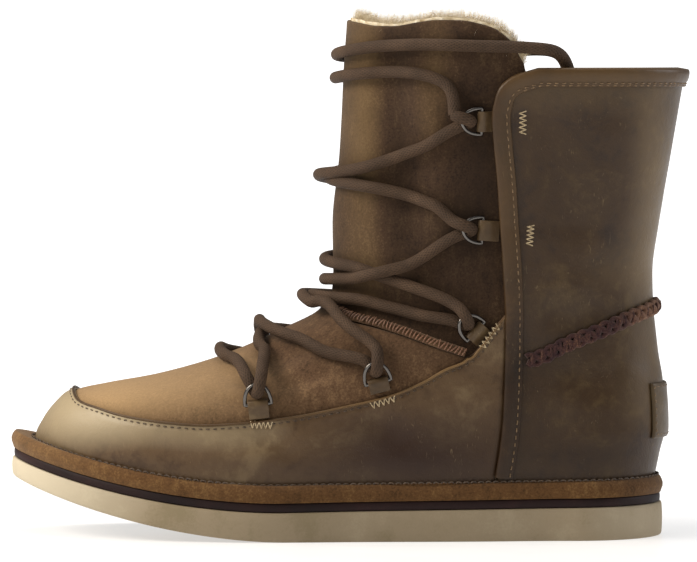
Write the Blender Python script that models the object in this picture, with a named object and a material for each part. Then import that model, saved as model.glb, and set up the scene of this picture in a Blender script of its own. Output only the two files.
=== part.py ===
"""Left lace-up ankle boot with a soft sole, leather mudguard and quarters, and a wrap-round suede tongue.

Everything is in metres. The toe points along -X, the outer side of the boot faces -Y, and +Z is up.
Inside this file x runs from the toe tip of the sole (0) to its heel end (SOLE_LENGTH), and the
finished boot is then centred over the middle of its footprint.

The upper, and everything cut from it, follows one surface: the form. A point of the form is given by
turn (0 at the toe or shin, +pi at the heel along the outer side, -pi along the inner side) and by
rise (height above the feather line, where the upper leaves the welt).
"""

import math

import bmesh
import bpy
import numpy as np
from mathutils import Vector

# Sole
SOLE_LENGTH = 0.2740
BALL_WIDTH = 0.0950
HEEL_WIDTH = 0.0720
TOE_SPRING = 0.0240
SPRING_START = 0.430
SPRING_POWER = 1.8
TOE_SWING = 0.0070
OUTSOLE_HEEL = 0.0140
OUTSOLE_TOE = 0.0080
MIDSOLE_THICKNESS = 0.0034
MIDSOLE_INSET = 0.0008
WELT_HEIGHT = 0.0074
WELT_BULGE = 0.0006
SOLE_EDGE_BEVEL = 0.0012
INSOLE_THICKNESS = 0.0050

# Upper
COLLAR_HEIGHT = 0.1945
TONGUE_HEIGHT = 0.2160
SHAFT_WIDTH = 0.0900
ANKLE_WIDTH = 0.0780
UPPER_WALL = 0.0024
LEATHER = 0.0013
TONGUE_WALL = 0.0022
SPRING_FADE = 0.0800

# Trims
BINDING_WIDTH = 0.0066
BINDING_RISE = 0.0014
BINDING_LIP = 0.0011
BRAID_WIDTH = 0.0078
BRAID_RISE = 0.0026
BRAID_LUMPS = 20
PATCH_COLUMNS = 2
PATCH_THICKNESS = 0.0010
EDGE_ROLL_WIDTH = 0.0036
EDGE_ROLL_RISE = 0.0019

# Laces, rings and tabs
LACE_DIAMETER = 0.0050
RING_WIDTH = 0.0124
RING_REACH = 0.0092
RING_WIRE = 0.0016
RING_TILT = 20.0
TAB_WIDTH = 0.0084
TAB_LEATHER = 0.0010
TAB_LENGTH = 0.0056

# Fits
CLEARANCE = 0.0003
LACE_CLEARANCE = 0.0007

# Facets. The upper's columns run from the toe to the quarter's edge and on to the heel, on each side.
SOLE_STEPS = 48
FRONT_COLUMNS = 12
REAR_COLUMNS = 7
MUDGUARD_ROWS = (0.0, 0.17, 0.34, 0.51, 0.68, 0.84, 1.0)
VAMP_ROWS = (0.0, 0.28, 0.54, 0.76, 0.89, 0.96, 1.0)
SHAFT_ROWS = (0.0, 0.22, 0.44, 0.64, 0.80, 0.89, 0.95, 0.985, 1.0)
TONGUE_ROWS = (0.0, 0.04, 0.08, 0.14, 0.22, 0.33, 0.46, 0.60, 0.75, 0.89, 1.0)
LACE_SIDES = 6
WIRE_SIDES = 5

# Sole outline: station from toe (0) to heel (1), then how much of the ball width and of the heel
# width lies on the outer and on the inner side of the axis there. Ends are rounded by the runs below.
SOLE_OUTLINE = [
    # station, outer_ball, outer_heel, inner_ball, inner_heel
    (0.00, 0.380, 0.000, 0.400, 0.000),
    (0.15, 0.445, 0.000, 0.430, 0.000),
    (0.30, 0.512, 0.000, 0.463, 0.000),
    (0.38, 0.526, 0.000, 0.468, 0.000),
    (0.55, 0.300, 0.233, 0.220, 0.248),
    (0.70, 0.080, 0.481, 0.040, 0.470),
    (0.85, 0.000, 0.516, 0.000, 0.512),
    (1.00, 0.000, 0.505, 0.000, 0.505),
]
SOLE_NOSE_RUN = 0.250
SOLE_NOSE_SQUARE = 2.3
SOLE_HEEL_RUN = 0.135

# Form rings from below the feather line up to the tongue's tip. rise is a share of the collar's rise,
# front, back, nose_run and heel_run are shares of the sole length, and square is the nose's fullness.
FORM_RINGS = [
    # rise, front, back, nose_run, square, heel_run
    (-0.053, 0.0450, 0.9760, 0.305, 2.0, 0.117),
    (0.000, 0.0417, 0.9839, 0.305, 2.0, 0.124),
    (0.059, 0.0533, 0.9916, 0.298, 2.1, 0.131),
    (0.118, 0.0734, 0.9996, 0.285, 2.2, 0.139),
    (0.165, 0.0994, 0.9989, 0.268, 2.2, 0.146),
    (0.200, 0.1505, 0.9974, 0.278, 2.2, 0.152),
    (0.236, 0.2229, 0.9956, 0.307, 2.1, 0.158),
    (0.295, 0.3266, 0.9894, 0.322, 2.0, 0.168),
    (0.354, 0.4077, 0.9850, 0.307, 2.0, 0.180),
    (0.418, 0.4783, 0.9810, 0.270, 2.0, 0.194),
    (0.501, 0.4852, 0.9795, 0.248, 2.0, 0.212),
    (0.619, 0.4841, 0.9887, 0.241, 2.0, 0.226),
    (0.796, 0.4947, 1.0073, 0.248, 2.0, 0.241),
    (1.002, 0.5020, 1.0289, 0.262, 2.0, 0.262),
    (1.160, 0.5075, 1.0455, 0.268, 2.0, 0.268),
]

# Half widths of the same form at three stations, as shares of the ball width (fore and waist) and of
# the heel width (rear). Above the ankle the shaft's own width takes over.
FORM_WIDTHS = [
    # rise, fore_outer, fore_inner, waist_outer, waist_inner, rear_outer, rear_inner
    (-0.053, 0.462, 0.410, 0.412, 0.345, 0.444, 0.444),
    (0.000, 0.474, 0.421, 0.426, 0.358, 0.457, 0.457),
    (0.059, 0.484, 0.432, 0.442, 0.374, 0.474, 0.474),
    (0.165, 0.466, 0.422, 0.442, 0.395, 0.480, 0.480),
    (0.295, 0.434, 0.403, 0.427, 0.396, 0.475, 0.475),
    (0.470, 0.420, 0.405, 0.420, 0.405, 0.490, 0.490),
]
FORM_STATIONS = (0.36, 0.60, 0.88)
ANKLE_RISE = 0.619
# Shaft half width from the ankle (0) to the collar (1), as a share of the way from ankle to shaft width.
SHAFT_FLARE = [(0.0, 0.00), (0.45, 0.42), (1.0, 1.00), (1.42, 1.15)]

# Lines drawn on the side of the upper: station along the sole, height as a share of the collar height.
MUDGUARD_LINE = [
    # station, height
    (0.0983, 0.309),
    (0.1122, 0.289),
    (0.1465, 0.276),
    (0.1790, 0.265),
    (0.2112, 0.258),
    (0.2601, 0.251),
    (0.3076, 0.248),
    (0.3595, 0.252),
    (0.4406, 0.266),
    (0.5228, 0.289),
    (0.5882, 0.311),
    (0.6372, 0.340),
    (0.6693, 0.366),
    (0.6956, 0.381),
    (0.7070, 0.390),
]
THROAT_LINE = [
    # station, height: the vamp's top edge from the shin back to the mudguard
    (0.4790, 0.4925),
    (0.5024, 0.4818),
    (0.5250, 0.4674),
    (0.5641, 0.4545),
    (0.6109, 0.4350),
    (0.6566, 0.4123),
    (0.6913, 0.3964),
    (0.7070, 0.3900),
    (0.7187, 0.4067),
    (0.7446, 0.4514),
    (0.7610, 0.4787),
]
QUARTER_EDGE = [
    # height, station: the quarter's front edge from the sole up to the collar
    (0.050, 0.7420),
    (0.138, 0.7486),
    (0.195, 0.7552),
    (0.271, 0.7607),
    (0.405, 0.7636),
    (0.477, 0.7640),
    (0.574, 0.7614),
    (0.672, 0.7567),
    (0.769, 0.7523),
    (0.853, 0.7468),
    (0.907, 0.7446),
    (0.932, 0.7479),
    (0.956, 0.7530),
    (0.977, 0.7665),
    (0.992, 0.7885),
    (1.000, 0.8111),
]
TONGUE_TOP = [
    # share of the way round to the tongue's side edge, height as a share of the tongue height
    (0.00, 1.000),
    (0.24, 0.993),
    (0.37, 0.987),
    (0.47, 0.986),
    (0.57, 0.992),
    (0.66, 0.997),
    (0.75, 0.996),
    (0.83, 0.988),
    (0.91, 0.970),
    (0.96, 0.950),
    (1.00, 0.915),
]
TONGUE_TAPER = [
    # height as a share of the collar height, how much of its side wrap the tongue keeps there
    (0.93, 1.00),
    (1.04, 0.66),
    (1.16, 0.60),
]
TONGUE_TUCK = 0.0110

# The braid runs from the binding up to the heel's centre line, and back down on the inner side.
BRAID_LINE = [
    # station, height
    (0.7930, 0.383),
    (0.8200, 0.396),
    (0.8470, 0.416),
    (0.9000, 0.446),
    (0.9560, 0.479),
    (1.0000, 0.494),
]
PATCH_BOTTOM = 0.215
PATCH_TOP = 0.330
ROLL_END = 0.672

# Where each ring's bar sits: station, height (share of the collar height), the way its tab points on
# the side of the boot in degrees (0 towards the heel, -90 down), how far the tab reaches as a share
# of TAB_LENGTH, and what it lies on (0 the vamp's face, 1 the tongue's face).
RING_SEATS = [
    # number, station, height, tab_angle, tab_reach, on_tongue
    (1, 0.7255, 0.892, -2.0, 0.68, 1.0),
    (2, 0.7265, 0.661, -4.0, 1.14, 1.0),
    (3, 0.7165, 0.446, -42.0, 0.72, 1.0),
    (4, 0.5700, 0.338, -76.0, 0.66, 0.0),
    (5, 0.3896, 0.290, -84.0, 0.95, 0.0),
]

# Lace strands between two rings, as rows on the form. Each strand is (start ring, rows, end ring), and
# a ring is (side, number, lane), with lane -1 for the strand that arrives and +1 for the next one.
# Row columns: side (+1 outer, -1 inner, 0 on the centre line, where station isn't used), station,
# height (share of the collar height), ground (0 the vamp's face, 1 the tongue's face, more is further
# in), and lift above that face in lace diameters, to pass over something.
LACE_BAR = (
    (1, 5, -1),
    [
        (1, 0.3520, 0.370, 0.0, 0.0),
        (0, 0.0000, 0.386, 0.0, 0.0),
        (-1, 0.3520, 0.370, 0.0, 0.0),
    ],
    (-1, 5, -1),
)
LACE_CROSSINGS = [
    # name, strand that lies below, strand that passes over
    (
        "4_5",
        (
            (1, 5, 1),
            [
                (1, 0.3990, 0.392, 0.0, 0.0),
                (0, 0.0000, 0.427, 0.0, 0.0),
                (-1, 0.4480, 0.418, 0.0, 0.0),
                (-1, 0.4900, 0.394, 0.0, 0.0),
            ],
            (-1, 4, -1),
        ),
        (
            (-1, 5, 1),
            [
                (-1, 0.3990, 0.392, 0.0, 0.10),
                (0, 0.0000, 0.427, 0.0, 0.84),
                (1, 0.4480, 0.418, 0.0, 0.10),
                (1, 0.4900, 0.394, 0.0, 0.0),
            ],
            (1, 4, -1),
        ),
    ),
    (
        "3_4",
        (
            (-1, 4, 1),
            [
                (-1, 0.5300, 0.440, 0.0, 0.50),
                (-1, 0.5020, 0.478, 0.0, 0.55),
                (0, 0.0000, 0.512, 0.0, 0.30),
                (1, 0.5300, 0.512, 0.6, 0.05),
                (1, 0.5870, 0.496, 1.0, 0.0),
                (1, 0.6320, 0.480, 1.0, 0.0),
            ],
            (1, 3, -1),
        ),
        (
            (1, 4, 1),
            [
                (1, 0.5300, 0.440, 0.0, 0.55),
                (1, 0.5020, 0.478, 0.0, 0.80),
                (0, 0.0000, 0.508, 0.0, 1.14),
                (-1, 0.5300, 0.508, 0.6, 0.45),
                (-1, 0.5870, 0.494, 1.0, 0.0),
                (-1, 0.6320, 0.480, 1.0, 0.0),
            ],
            (-1, 3, -1),
        ),
    ),
    (
        "2_3",
        (
            (1, 3, 1),
            [
                (1, 0.6190, 0.541, 1.0, 0.0),
                (1, 0.5710, 0.563, 1.0, 0.0),
                (1, 0.5300, 0.581, 1.0, 0.0),
                (0, 0.0000, 0.594, 1.0, 0.0),
                (-1, 0.5400, 0.604, 1.0, 0.0),
                (-1, 0.6200, 0.622, 1.0, 0.0),
            ],
            (-1, 2, -1),
        ),
        (
            (-1, 3, 1),
            [
                (-1, 0.6190, 0.524, 1.0, 0.0),
                (-1, 0.5800, 0.535, 1.0, 0.0),
                (-1, 0.5400, 0.543, 1.0, 0.0),
                (0, 0.0000, 0.550, 1.0, 0.0),
                (1, 0.5300, 0.556, 1.0, 0.10),
                (1, 0.5640, 0.566, 1.0, 0.84),
                (1, 0.6100, 0.584, 1.0, 0.10),
            ],
            (1, 2, -1),
        ),
    ),
    (
        "1_2",
        (
            (1, 2, 1),
            [
                (1, 0.6550, 0.714, 1.0, 0.0),
                (1, 0.6100, 0.735, 1.0, 0.0),
                (1, 0.5650, 0.750, 1.0, 0.0),
                (0, 0.0000, 0.772, 1.0, 0.0),
                (-1, 0.5650, 0.800, 1.0, 0.0),
                (-1, 0.6310, 0.834, 1.0, 0.0),
            ],
            (-1, 1, -1),
        ),
        (
            (-1, 2, 1),
            [
                (-1, 0.6550, 0.714, 1.0, 0.0),
                (-1, 0.6100, 0.735, 1.0, 0.0),
                (-1, 0.5650, 0.750, 1.0, 0.10),
                (0, 0.0000, 0.772, 1.0, 0.84),
                (1, 0.5400, 0.790, 1.0, 0.10),
                (1, 0.6310, 0.834, 1.0, 0.0),
            ],
            (1, 1, -1),
        ),
    ),
]
LACE_ENDS = [
    # name, ring it leaves, rows round the shin to where it dives behind the other quarter
    (
        "inner",
        (1, 1, 1),
        [
            (1, 0.6820, 0.968, 1.0, 0.0),
            (1, 0.6440, 0.990, 1.0, 0.0),
            (1, 0.5920, 0.998, 1.0, 0.0),
            (1, 0.5400, 0.993, 1.0, 0.0),
            (0, 0.0000, 0.984, 1.0, 0.0),
            (-1, 0.5300, 0.990, 1.0, 0.10),
            (-1, 0.5800, 1.002, 1.0, 0.80),
            (-1, 0.6150, 1.010, 1.0, 1.25),
            (-1, 0.6500, 1.018, 1.0, 0.80),
            (-1, 0.7000, 1.030, 1.0, 0.10),
            (-1, 0.7500, 1.040, 1.0, 0.05),
            (-1, 0.8100, 1.046, 1.0, 0.10),
            (-1, 0.8420, 1.040, 2.2, 0.0),
            (-1, 0.8600, 1.008, 3.5, 0.0),
            (-1, 0.8660, 0.970, 3.5, 0.0),
        ],
    ),
    (
        "outer",
        (-1, 1, 1),
        [
            (-1, 0.6700, 0.982, 1.0, 0.0),
            (-1, 0.6150, 1.010, 1.0, 0.0),
            (-1, 0.5500, 1.026, 1.0, 0.0),
            (0, 0.0000, 1.034, 1.0, 0.0),
            (1, 0.5300, 1.044, 1.0, 0.0),
            (1, 0.5700, 1.052, 1.0, 0.0),
            (1, 0.6370, 1.055, 1.0, 0.0),
            (1, 0.7100, 1.052, 1.0, 0.0),
            (1, 0.7700, 1.050, 1.0, 0.05),
            (1, 0.8100, 1.047, 1.0, 0.10),
            (1, 0.8420, 1.040, 2.2, 0.0),
            (1, 0.8600, 1.008, 3.5, 0.0),
            (1, 0.8660, 0.972, 3.5, 0.0),
        ],
    ),
]


def share_curve(rows, column):
    """Knots and values of one column of a table whose first column is the knot."""
    return np.array([row[0] for row in rows]), np.array([row[column] for row in rows])


def smooth_through(knots, values, at):
    """Shape-preserving cubic through the knots, so a table never overshoots its own rows."""
    knots = np.asarray(knots, float)
    values = np.asarray(values, float)
    at = np.asarray(at, float)
    gaps = np.diff(knots)
    slopes = np.diff(values) / gaps
    tangents = np.zeros_like(values)
    same_way = slopes[:-1] * slopes[1:] > 0
    before = 2 * gaps[1:] + gaps[:-1]
    after = gaps[1:] + 2 * gaps[:-1]
    with np.errstate(divide="ignore", invalid="ignore"):
        mean = (before + after) / (before / slopes[:-1] + after / slopes[1:])
    tangents[1:-1] = np.where(same_way, mean, 0.0)
    tangents[0] = slopes[0]
    tangents[-1] = slopes[-1]
    inside = np.clip(at, knots[0], knots[-1])
    cell = np.clip(np.searchsorted(knots, inside, side="right") - 1, 0, len(gaps) - 1)
    t = (inside - knots[cell]) / gaps[cell]
    return (
        (1 + 2 * t) * (1 - t) ** 2 * values[cell]
        + t * (1 - t) ** 2 * gaps[cell] * tangents[cell]
        + t**2 * (3 - 2 * t) * values[cell + 1]
        + t**2 * (t - 1) * gaps[cell] * tangents[cell + 1]
    )


def rounded_end(distance, run, square):
    """Width share near a round end: 0 at the end, 1 once distance reaches run."""
    t = np.clip(distance / run, 0.0, 1.0)
    return np.sqrt(np.maximum(1 - (1 - t) ** square, 0.0))


def ease(t):
    """0 to 1 with flat ends."""
    t = np.clip(t, 0.0, 1.0)
    return t * t * (3 - 2 * t)


def sole_lift(x):
    """Height of the sole's underside above the floor, from the toe spring."""
    start = SPRING_START * SOLE_LENGTH
    return TOE_SPRING * np.clip((start - x) / start, 0.0, 1.0) ** SPRING_POWER


def outsole_top(x):
    """Height of the outsole's upper face."""
    share = np.clip(x / SOLE_LENGTH, 0.0, 1.0)
    thickness = smooth_through(
        (0.0, 0.4, 1.0), (OUTSOLE_TOE, 0.6 * OUTSOLE_HEEL + 0.45 * OUTSOLE_TOE, OUTSOLE_HEEL), share
    )
    return sole_lift(x) + thickness


def midsole_top(x):
    """Height of the midsole's upper face, where upper, welt and insole all stand."""
    return outsole_top(x) + CLEARANCE + MIDSOLE_THICKNESS


def feather_height(x):
    """Height of the line where the upper leaves the welt."""
    return midsole_top(x) + CLEARANCE + WELT_HEIGHT


def heel_feather():
    """Feather height at the heel end, from which rise is counted."""
    return float(feather_height(np.array(SOLE_LENGTH)))


def collar_rise():
    """Rise of the collar above the feather line."""
    return COLLAR_HEIGHT - heel_feather()


def swing(x):
    """How far the sole's middle line leans to the inner side towards the toe."""
    ball = 0.40 * SOLE_LENGTH
    return TOE_SWING * np.clip((ball - x) / ball, 0.0, 1.0) ** 1.6


def height_at(x, rise):
    """Height above the floor of a form point: the toe spring fades out as the form rises."""
    lift = feather_height(x) - heel_feather()
    fade = np.clip(1 - rise / SPRING_FADE, 0.0, None)
    return heel_feather() + rise + lift * fade


def ring_column(column, rise):
    """One column of FORM_RINGS at this rise, in metres where it is a length."""
    knots, values = share_curve(FORM_RINGS, column)
    return smooth_through(knots, values, rise / collar_rise())


def ring_ends(rise):
    """Where the form's ring starts at the front and ends at the back."""
    return ring_column(1, rise) * SOLE_LENGTH, ring_column(2, rise) * SOLE_LENGTH


def half_width(x, rise, outer):
    """Half width of the form at x on one side. outer is True on the outer side of the boot."""
    front, back = ring_ends(rise)
    share = rise / collar_rise()
    pick = 1 if outer else 2
    widths = []
    for station, size in enumerate((BALL_WIDTH, BALL_WIDTH, HEEL_WIDTH)):
        knots, values = share_curve(FORM_WIDTHS, 2 * station + pick)
        widths.append(smooth_through(knots, values, share) * size)
    fore, waist, rear = widths
    first, middle, last = (station * SOLE_LENGTH for station in FORM_STATIONS)
    foot = fore + (waist - fore) * ease((x - first) / (middle - first))
    foot = foot + (rear - waist) * ease((x - middle) / (last - middle))
    knots, values = share_curve(SHAFT_FLARE, 1)
    flare = smooth_through(knots, values, (share - ANKLE_RISE) / (1 - ANKLE_RISE))
    shaft = 0.5 * (ANKLE_WIDTH + (SHAFT_WIDTH - ANKLE_WIDTH) * flare)
    top_of_foot = FORM_WIDTHS[-1][0]
    body = foot + (shaft - foot) * ease((share - 0.30) / (top_of_foot + 0.15 - 0.30))
    nose = rounded_end(x - front, ring_column(3, rise) * SOLE_LENGTH, ring_column(4, rise))
    heel = rounded_end(back - x, ring_column(5, rise) * SOLE_LENGTH, 2.0)
    return body * nose * heel


def form_point(turn, rise):
    """Point of the form, as an array with x, y, z last."""
    turn, rise = np.broadcast_arrays(np.asarray(turn, float), np.asarray(rise, float))
    front, back = ring_ends(rise)
    x = front + (back - front) * (1 - np.cos(turn)) / 2
    outer = np.sin(turn) >= 0
    y = swing(x) + np.where(outer, -half_width(x, rise, True), half_width(x, rise, False))
    return np.stack([x, y, height_at(x, rise)], axis=-1)


def form_normal(turn, rise):
    """Outward direction of the form there."""
    turn_step, rise_step = 0.004, 0.0004
    around = form_point(turn + turn_step, rise) - form_point(turn - turn_step, rise)
    upward = form_point(turn, rise + rise_step) - form_point(turn, rise - rise_step)
    normal = np.cross(around, upward)
    return normal / np.linalg.norm(normal, axis=-1, keepdims=True)


def place(turn, rise, offset):
    """Point that stands off the form by offset."""
    return form_point(turn, rise) + form_normal(turn, rise) * np.asarray(offset)[..., None]


def turn_at(x, rise):
    """Turn, from 0 to pi, at which a ring of the form reaches x."""
    front, back = ring_ends(rise)
    return np.arccos(np.clip(1 - 2 * (x - front) / (back - front), -1.0, 1.0))


def line_height(rows, x):
    """Height of a drawn line at x, from rows of station and share of the collar height."""
    knots, values = share_curve(rows, 1)
    return smooth_through(knots * SOLE_LENGTH, values * COLLAR_HEIGHT, x)


def side_turn(rows, rise, shift=0.0):
    """Turn of an upright line at this rise, from rows of height and station, moved along by shift."""
    knots, values = share_curve(rows, 1)
    x = np.full_like(np.asarray(rise, float), 0.76 * SOLE_LENGTH)
    for _ in range(4):
        x = smooth_through(knots * COLLAR_HEIGHT, values * SOLE_LENGTH, height_at(x, rise))
    return turn_at(x + shift, rise)


def around_turn(columns, rise):
    """Turn of columns round the upper: 0 toe, 1 outer quarter edge, 2 heel, 3 inner edge, 4 toe."""
    near = np.where(columns <= 2, columns, 4 - columns)
    edge = side_turn(QUARTER_EDGE, rise)
    turn = np.where(near <= 1, near * edge, edge + (math.pi - edge) * (near - 1))
    return np.where(columns <= 2, turn, 2 * math.pi - turn)


def tongue_turn(columns, rise):
    """Turn of the same columns on the tongue, which don't follow the quarter's round corner."""
    near = np.where(columns <= 2, columns, 4 - columns)
    edge = side_turn(QUARTER_EDGE[:11], rise)
    knots, values = share_curve(TONGUE_TAPER, 1)
    taper = smooth_through(knots, values, (heel_feather() + rise) / COLLAR_HEIGHT)
    turn = np.where(near <= 1, near * edge, edge + (math.pi - edge) * (near - 1) * taper)
    return np.where(columns <= 2, turn, -turn)


def solve_rise(turn_of, height_of, low, high, offset=0.0):
    """Rise at which a column, whose turn may change with rise, meets a height line at an offset."""
    low, high = np.array(low, float), np.array(high, float)
    for _ in range(36):
        middle = (low + high) / 2
        point = place(turn_of(middle), middle, offset)
        above = point[..., 2] > height_of(point[..., 0])
        high = np.where(above, middle, high)
        low = np.where(above, low, middle)
    return (low + high) / 2


def rise_on(x, height):
    """Rise of a point of the form's side, given its x and its height."""
    lift = feather_height(x) - heel_feather()
    rise = height - heel_feather()
    return np.where(
        rise < SPRING_FADE, (rise - lift) / (1 - lift / SPRING_FADE), rise
    )


def bottom_rise(columns, gap, offsets):
    """Rise of a layer's bottom edge, a gap above the midsole at both of its offsets."""
    low = np.full(columns.shape, -0.06 * collar_rise())
    found = [
        solve_rise(
            lambda rise: around_turn(columns, rise),
            lambda x: midsole_top(x) + gap,
            low,
            low + 0.12 * collar_rise(),
            offset,
        )
        for offset in offsets
    ]
    return np.maximum(*found)


def line_rise(turn_of, columns, rows, drop=0.0):
    """Rise at which columns of a panel meet a line drawn on the side, lowered by drop."""
    low = np.full(columns.shape, -0.06 * collar_rise())
    return solve_rise(
        lambda rise: turn_of(columns, rise),
        lambda x: line_height(rows, x) - drop,
        low,
        low + 1.06 * collar_rise(),
    )


def grid(turn_of, columns, bottom, top, shares):
    """Patch of (turn, rise) between two edges, with rows at these shares of the way up."""
    rise = bottom + (top - bottom) * np.asarray(shares)[:, None]
    return turn_of(np.broadcast_to(columns, rise.shape), rise), rise, False


def ladder_faces(rows, columns, closed):
    """Quads of a grid, joined round if closed."""
    faces = []
    for row in range(rows - 1):
        for column in range(columns if closed else columns - 1):
            after = (column + 1) % columns
            faces.append(
                (
                    row * columns + column,
                    row * columns + after,
                    (row + 1) * columns + after,
                    (row + 1) * columns + column,
                )
            )
    return faces


def open_edges(faces):
    """Edges that only one face uses, in that face's direction."""
    used = {}
    for face in faces:
        for start, end in zip(face, face[1:] + face[:1]):
            key = (min(start, end), max(start, end))
            used.setdefault(key, []).append((start, end))
    return [found[0] for found in used.values() if len(found) == 1]


def add_object(name, points, faces, material, parent):
    """Makes a closed mesh object, with its faces turned outwards, under the boot."""
    mesh = bpy.data.meshes.new(name)
    mesh.from_pydata([tuple(point) for point in points], [], faces)
    mesh.validate()
    turn_outwards(mesh)
    mesh.shade_smooth()
    mesh.set_sharp_from_angle(angle=math.radians(40))
    mesh.materials.append(material)
    found = bpy.data.objects.new(name, mesh)
    bpy.context.scene.collection.objects.link(found)
    found.parent = parent
    return found


def turn_outwards(mesh):
    """Makes a closed mesh's faces point outwards."""
    work = bmesh.new()
    work.from_mesh(mesh)
    bmesh.ops.remove_doubles(work, verts=work.verts, dist=1e-6)
    bmesh.ops.recalc_face_normals(work, faces=work.faces)
    if work.calc_volume(signed=True) < 0:
        bmesh.ops.reverse_faces(work, faces=work.faces)
    work.to_mesh(mesh)
    work.free()


def panel(name, patches, inner, outer, material, parent):
    """A piece of the upper: the form between two offsets, over patches of (turn, rise) grids.

    Patches share their common edge's columns exactly, and are welded there.
    """
    spots, faces, count = [], [], 0
    for turn, rise, closed in patches:
        rows, columns = turn.shape
        spots.append(np.stack([turn.ravel(), rise.ravel()], axis=-1))
        faces += [
            tuple(count + corner for corner in face)
            for face in ladder_faces(rows, columns, closed)
        ]
        count += rows * columns
    spots = np.concatenate(spots)
    key = np.stack([np.cos(spots[:, 0]), np.sin(spots[:, 0]), 40 * spots[:, 1]], axis=-1)
    _, first, index = np.unique(
        np.round(key, 6), axis=0, return_index=True, return_inverse=True
    )
    spots, index = spots[first], index.reshape(-1)
    halves = [half for a, b, c, d in faces for half in ((a, b, c), (a, c, d))]
    faces = [tuple(int(index[corner]) for corner in face) for face in halves]
    faces = [face for face in faces if len(set(face)) == 3]
    count = len(spots)
    points = np.concatenate(
        [place(spots[:, 0], spots[:, 1], outer), place(spots[:, 0], spots[:, 1], inner)]
    )
    solid = list(faces)
    solid += [tuple(corner + count for corner in reversed(face)) for face in faces]
    solid += [
        (start + count, end + count, end, start) for start, end in open_edges(faces)
    ]
    return add_object(name, points, solid, material, parent)


def slab(name, loops, material, parent):
    """A closed solid through stacked loops, whose ends are capped from side to side.

    Each loop starts at the toe and holds an even number of points, mirrored about its middle.
    """
    count = len(loops[0])
    points = np.concatenate(loops)
    faces = ladder_faces(len(loops), count, True)
    last = (len(loops) - 1) * count
    for step in range(count // 2):
        left, right = step, (count - step) % count
        next_left, next_right = step + 1, count - step - 1
        faces.append((left, right, next_right, next_left))
        faces.append((last + left, last + next_left, last + next_right, last + right))
    clean = [tuple(dict.fromkeys(face)) for face in faces]
    return add_object(name, points, [f for f in clean if len(f) > 2], material, parent)


def ring_solid(name, loops, material, parent):
    """A closed ring through loops that go round its own section."""
    count = len(loops[0])
    points = np.concatenate(loops)
    faces = ladder_faces(len(loops), count, True)
    last = (len(loops) - 1) * count
    for column in range(count):
        after = (column + 1) % count
        faces.append((last + column, last + after, after, column))
    return add_object(name, points, faces, material, parent)


def swept(name, sections, material, parent):
    """A closed solid through open-ended sections, each a loop of points of equal count."""
    count = len(sections[0])
    faces = ladder_faces(len(sections), count, True)
    last = (len(sections) - 1) * count
    faces.append(tuple(reversed(range(count))))
    faces.append(tuple(last + corner for corner in range(count)))
    return add_object(name, np.concatenate(sections), faces, material, parent)


def unit(vectors):
    """The same directions at length 1."""
    return vectors / np.linalg.norm(vectors, axis=-1, keepdims=True)


def shift_on_form(turn, rise, direction):
    """Change of turn and rise for each metre along a direction that lies on the form."""
    around = (form_point(turn + 0.002, rise) - form_point(turn - 0.002, rise)) / 0.004
    upward = (form_point(turn, rise + 0.0002) - form_point(turn, rise - 0.0002)) / 0.0004
    basis = np.stack([around, upward], axis=-1)
    return (np.linalg.pinv(basis) @ direction[..., None])[..., 0]


def strip(name, turn, rise, section_at, material, parent):
    """A raised strip along a line on the form.

    section_at(height, share of the way along) gives rows of (across, off), where across points to
    the right of the way along, seen from outside, and off stands off the form.
    """
    centre = form_point(turn, rise)
    along = unit(np.gradient(centre, axis=0))
    across = unit(np.cross(along, form_normal(turn, rise)))
    change = shift_on_form(turn, rise, across)
    sections = []
    for step, share in enumerate(np.linspace(0.0, 1.0, len(centre))):
        rows = np.asarray(section_at(centre[step, 2], share))
        turns = turn[step] + change[step, 0] * rows[:, 0]
        rises = rise[step] + change[step, 1] * rows[:, 0]
        sections.append(place(turns, rises, rows[:, 1]))
    return swept(name, sections, material, parent)


def sole_turn():
    """Turns of the sole's own points round its outline."""
    return np.linspace(0.0, 2 * math.pi, SOLE_STEPS, endpoint=False)


def outline_loop(turn, inset, height):
    """Loop round the sole's own outline, inset from its edge, at height(x)."""
    x = SOLE_LENGTH * (1 - np.cos(turn)) / 2
    knots = np.array([row[0] for row in SOLE_OUTLINE]) * SOLE_LENGTH
    table = np.array(SOLE_OUTLINE)
    outer = smooth_through(knots, table[:, 1] * BALL_WIDTH + table[:, 2] * HEEL_WIDTH, x)
    inner = smooth_through(knots, table[:, 3] * BALL_WIDTH + table[:, 4] * HEEL_WIDTH, x)
    ends = rounded_end(x, SOLE_NOSE_RUN * SOLE_LENGTH, SOLE_NOSE_SQUARE)
    ends = ends * rounded_end(SOLE_LENGTH - x, SOLE_HEEL_RUN * SOLE_LENGTH, 2.0)
    side = np.where(np.sin(turn) >= 0, -outer, inner)
    y = swing(x) + side * ends
    flat = np.stack([x, y, np.zeros_like(x)], axis=-1)
    along = unit(np.roll(flat, -1, axis=0) - np.roll(flat, 1, axis=0))
    inward = np.cross([0.0, 0.0, 1.0], along)
    flat = flat + inward * inset
    flat[:, 2] = height(flat[:, 0])
    return flat


def form_loop(turn, offset, height):
    """Loop round the form at a height line, standing off it by offset."""
    low = np.full(turn.shape, -0.06 * collar_rise())
    rise = solve_rise(lambda _: turn, height, low, low + 0.3 * collar_rise())
    loop = place(turn, rise, offset)
    loop[:, 2] = height(loop[:, 0])
    return loop


def side_spot(side, x, height):
    """Turn and rise of a point given by its side, x and height; side 0 is the centre line."""
    if side == 0:
        low = np.full(1, -0.06 * collar_rise())
        high = low + 1.3 * collar_rise()
        rise = solve_rise(lambda at: np.zeros(1), lambda at: height, low, high)
        return 0.0, float(rise[0])
    rise = float(rise_on(np.array(x), height))
    return side * float(turn_at(x, rise)), rise


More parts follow.
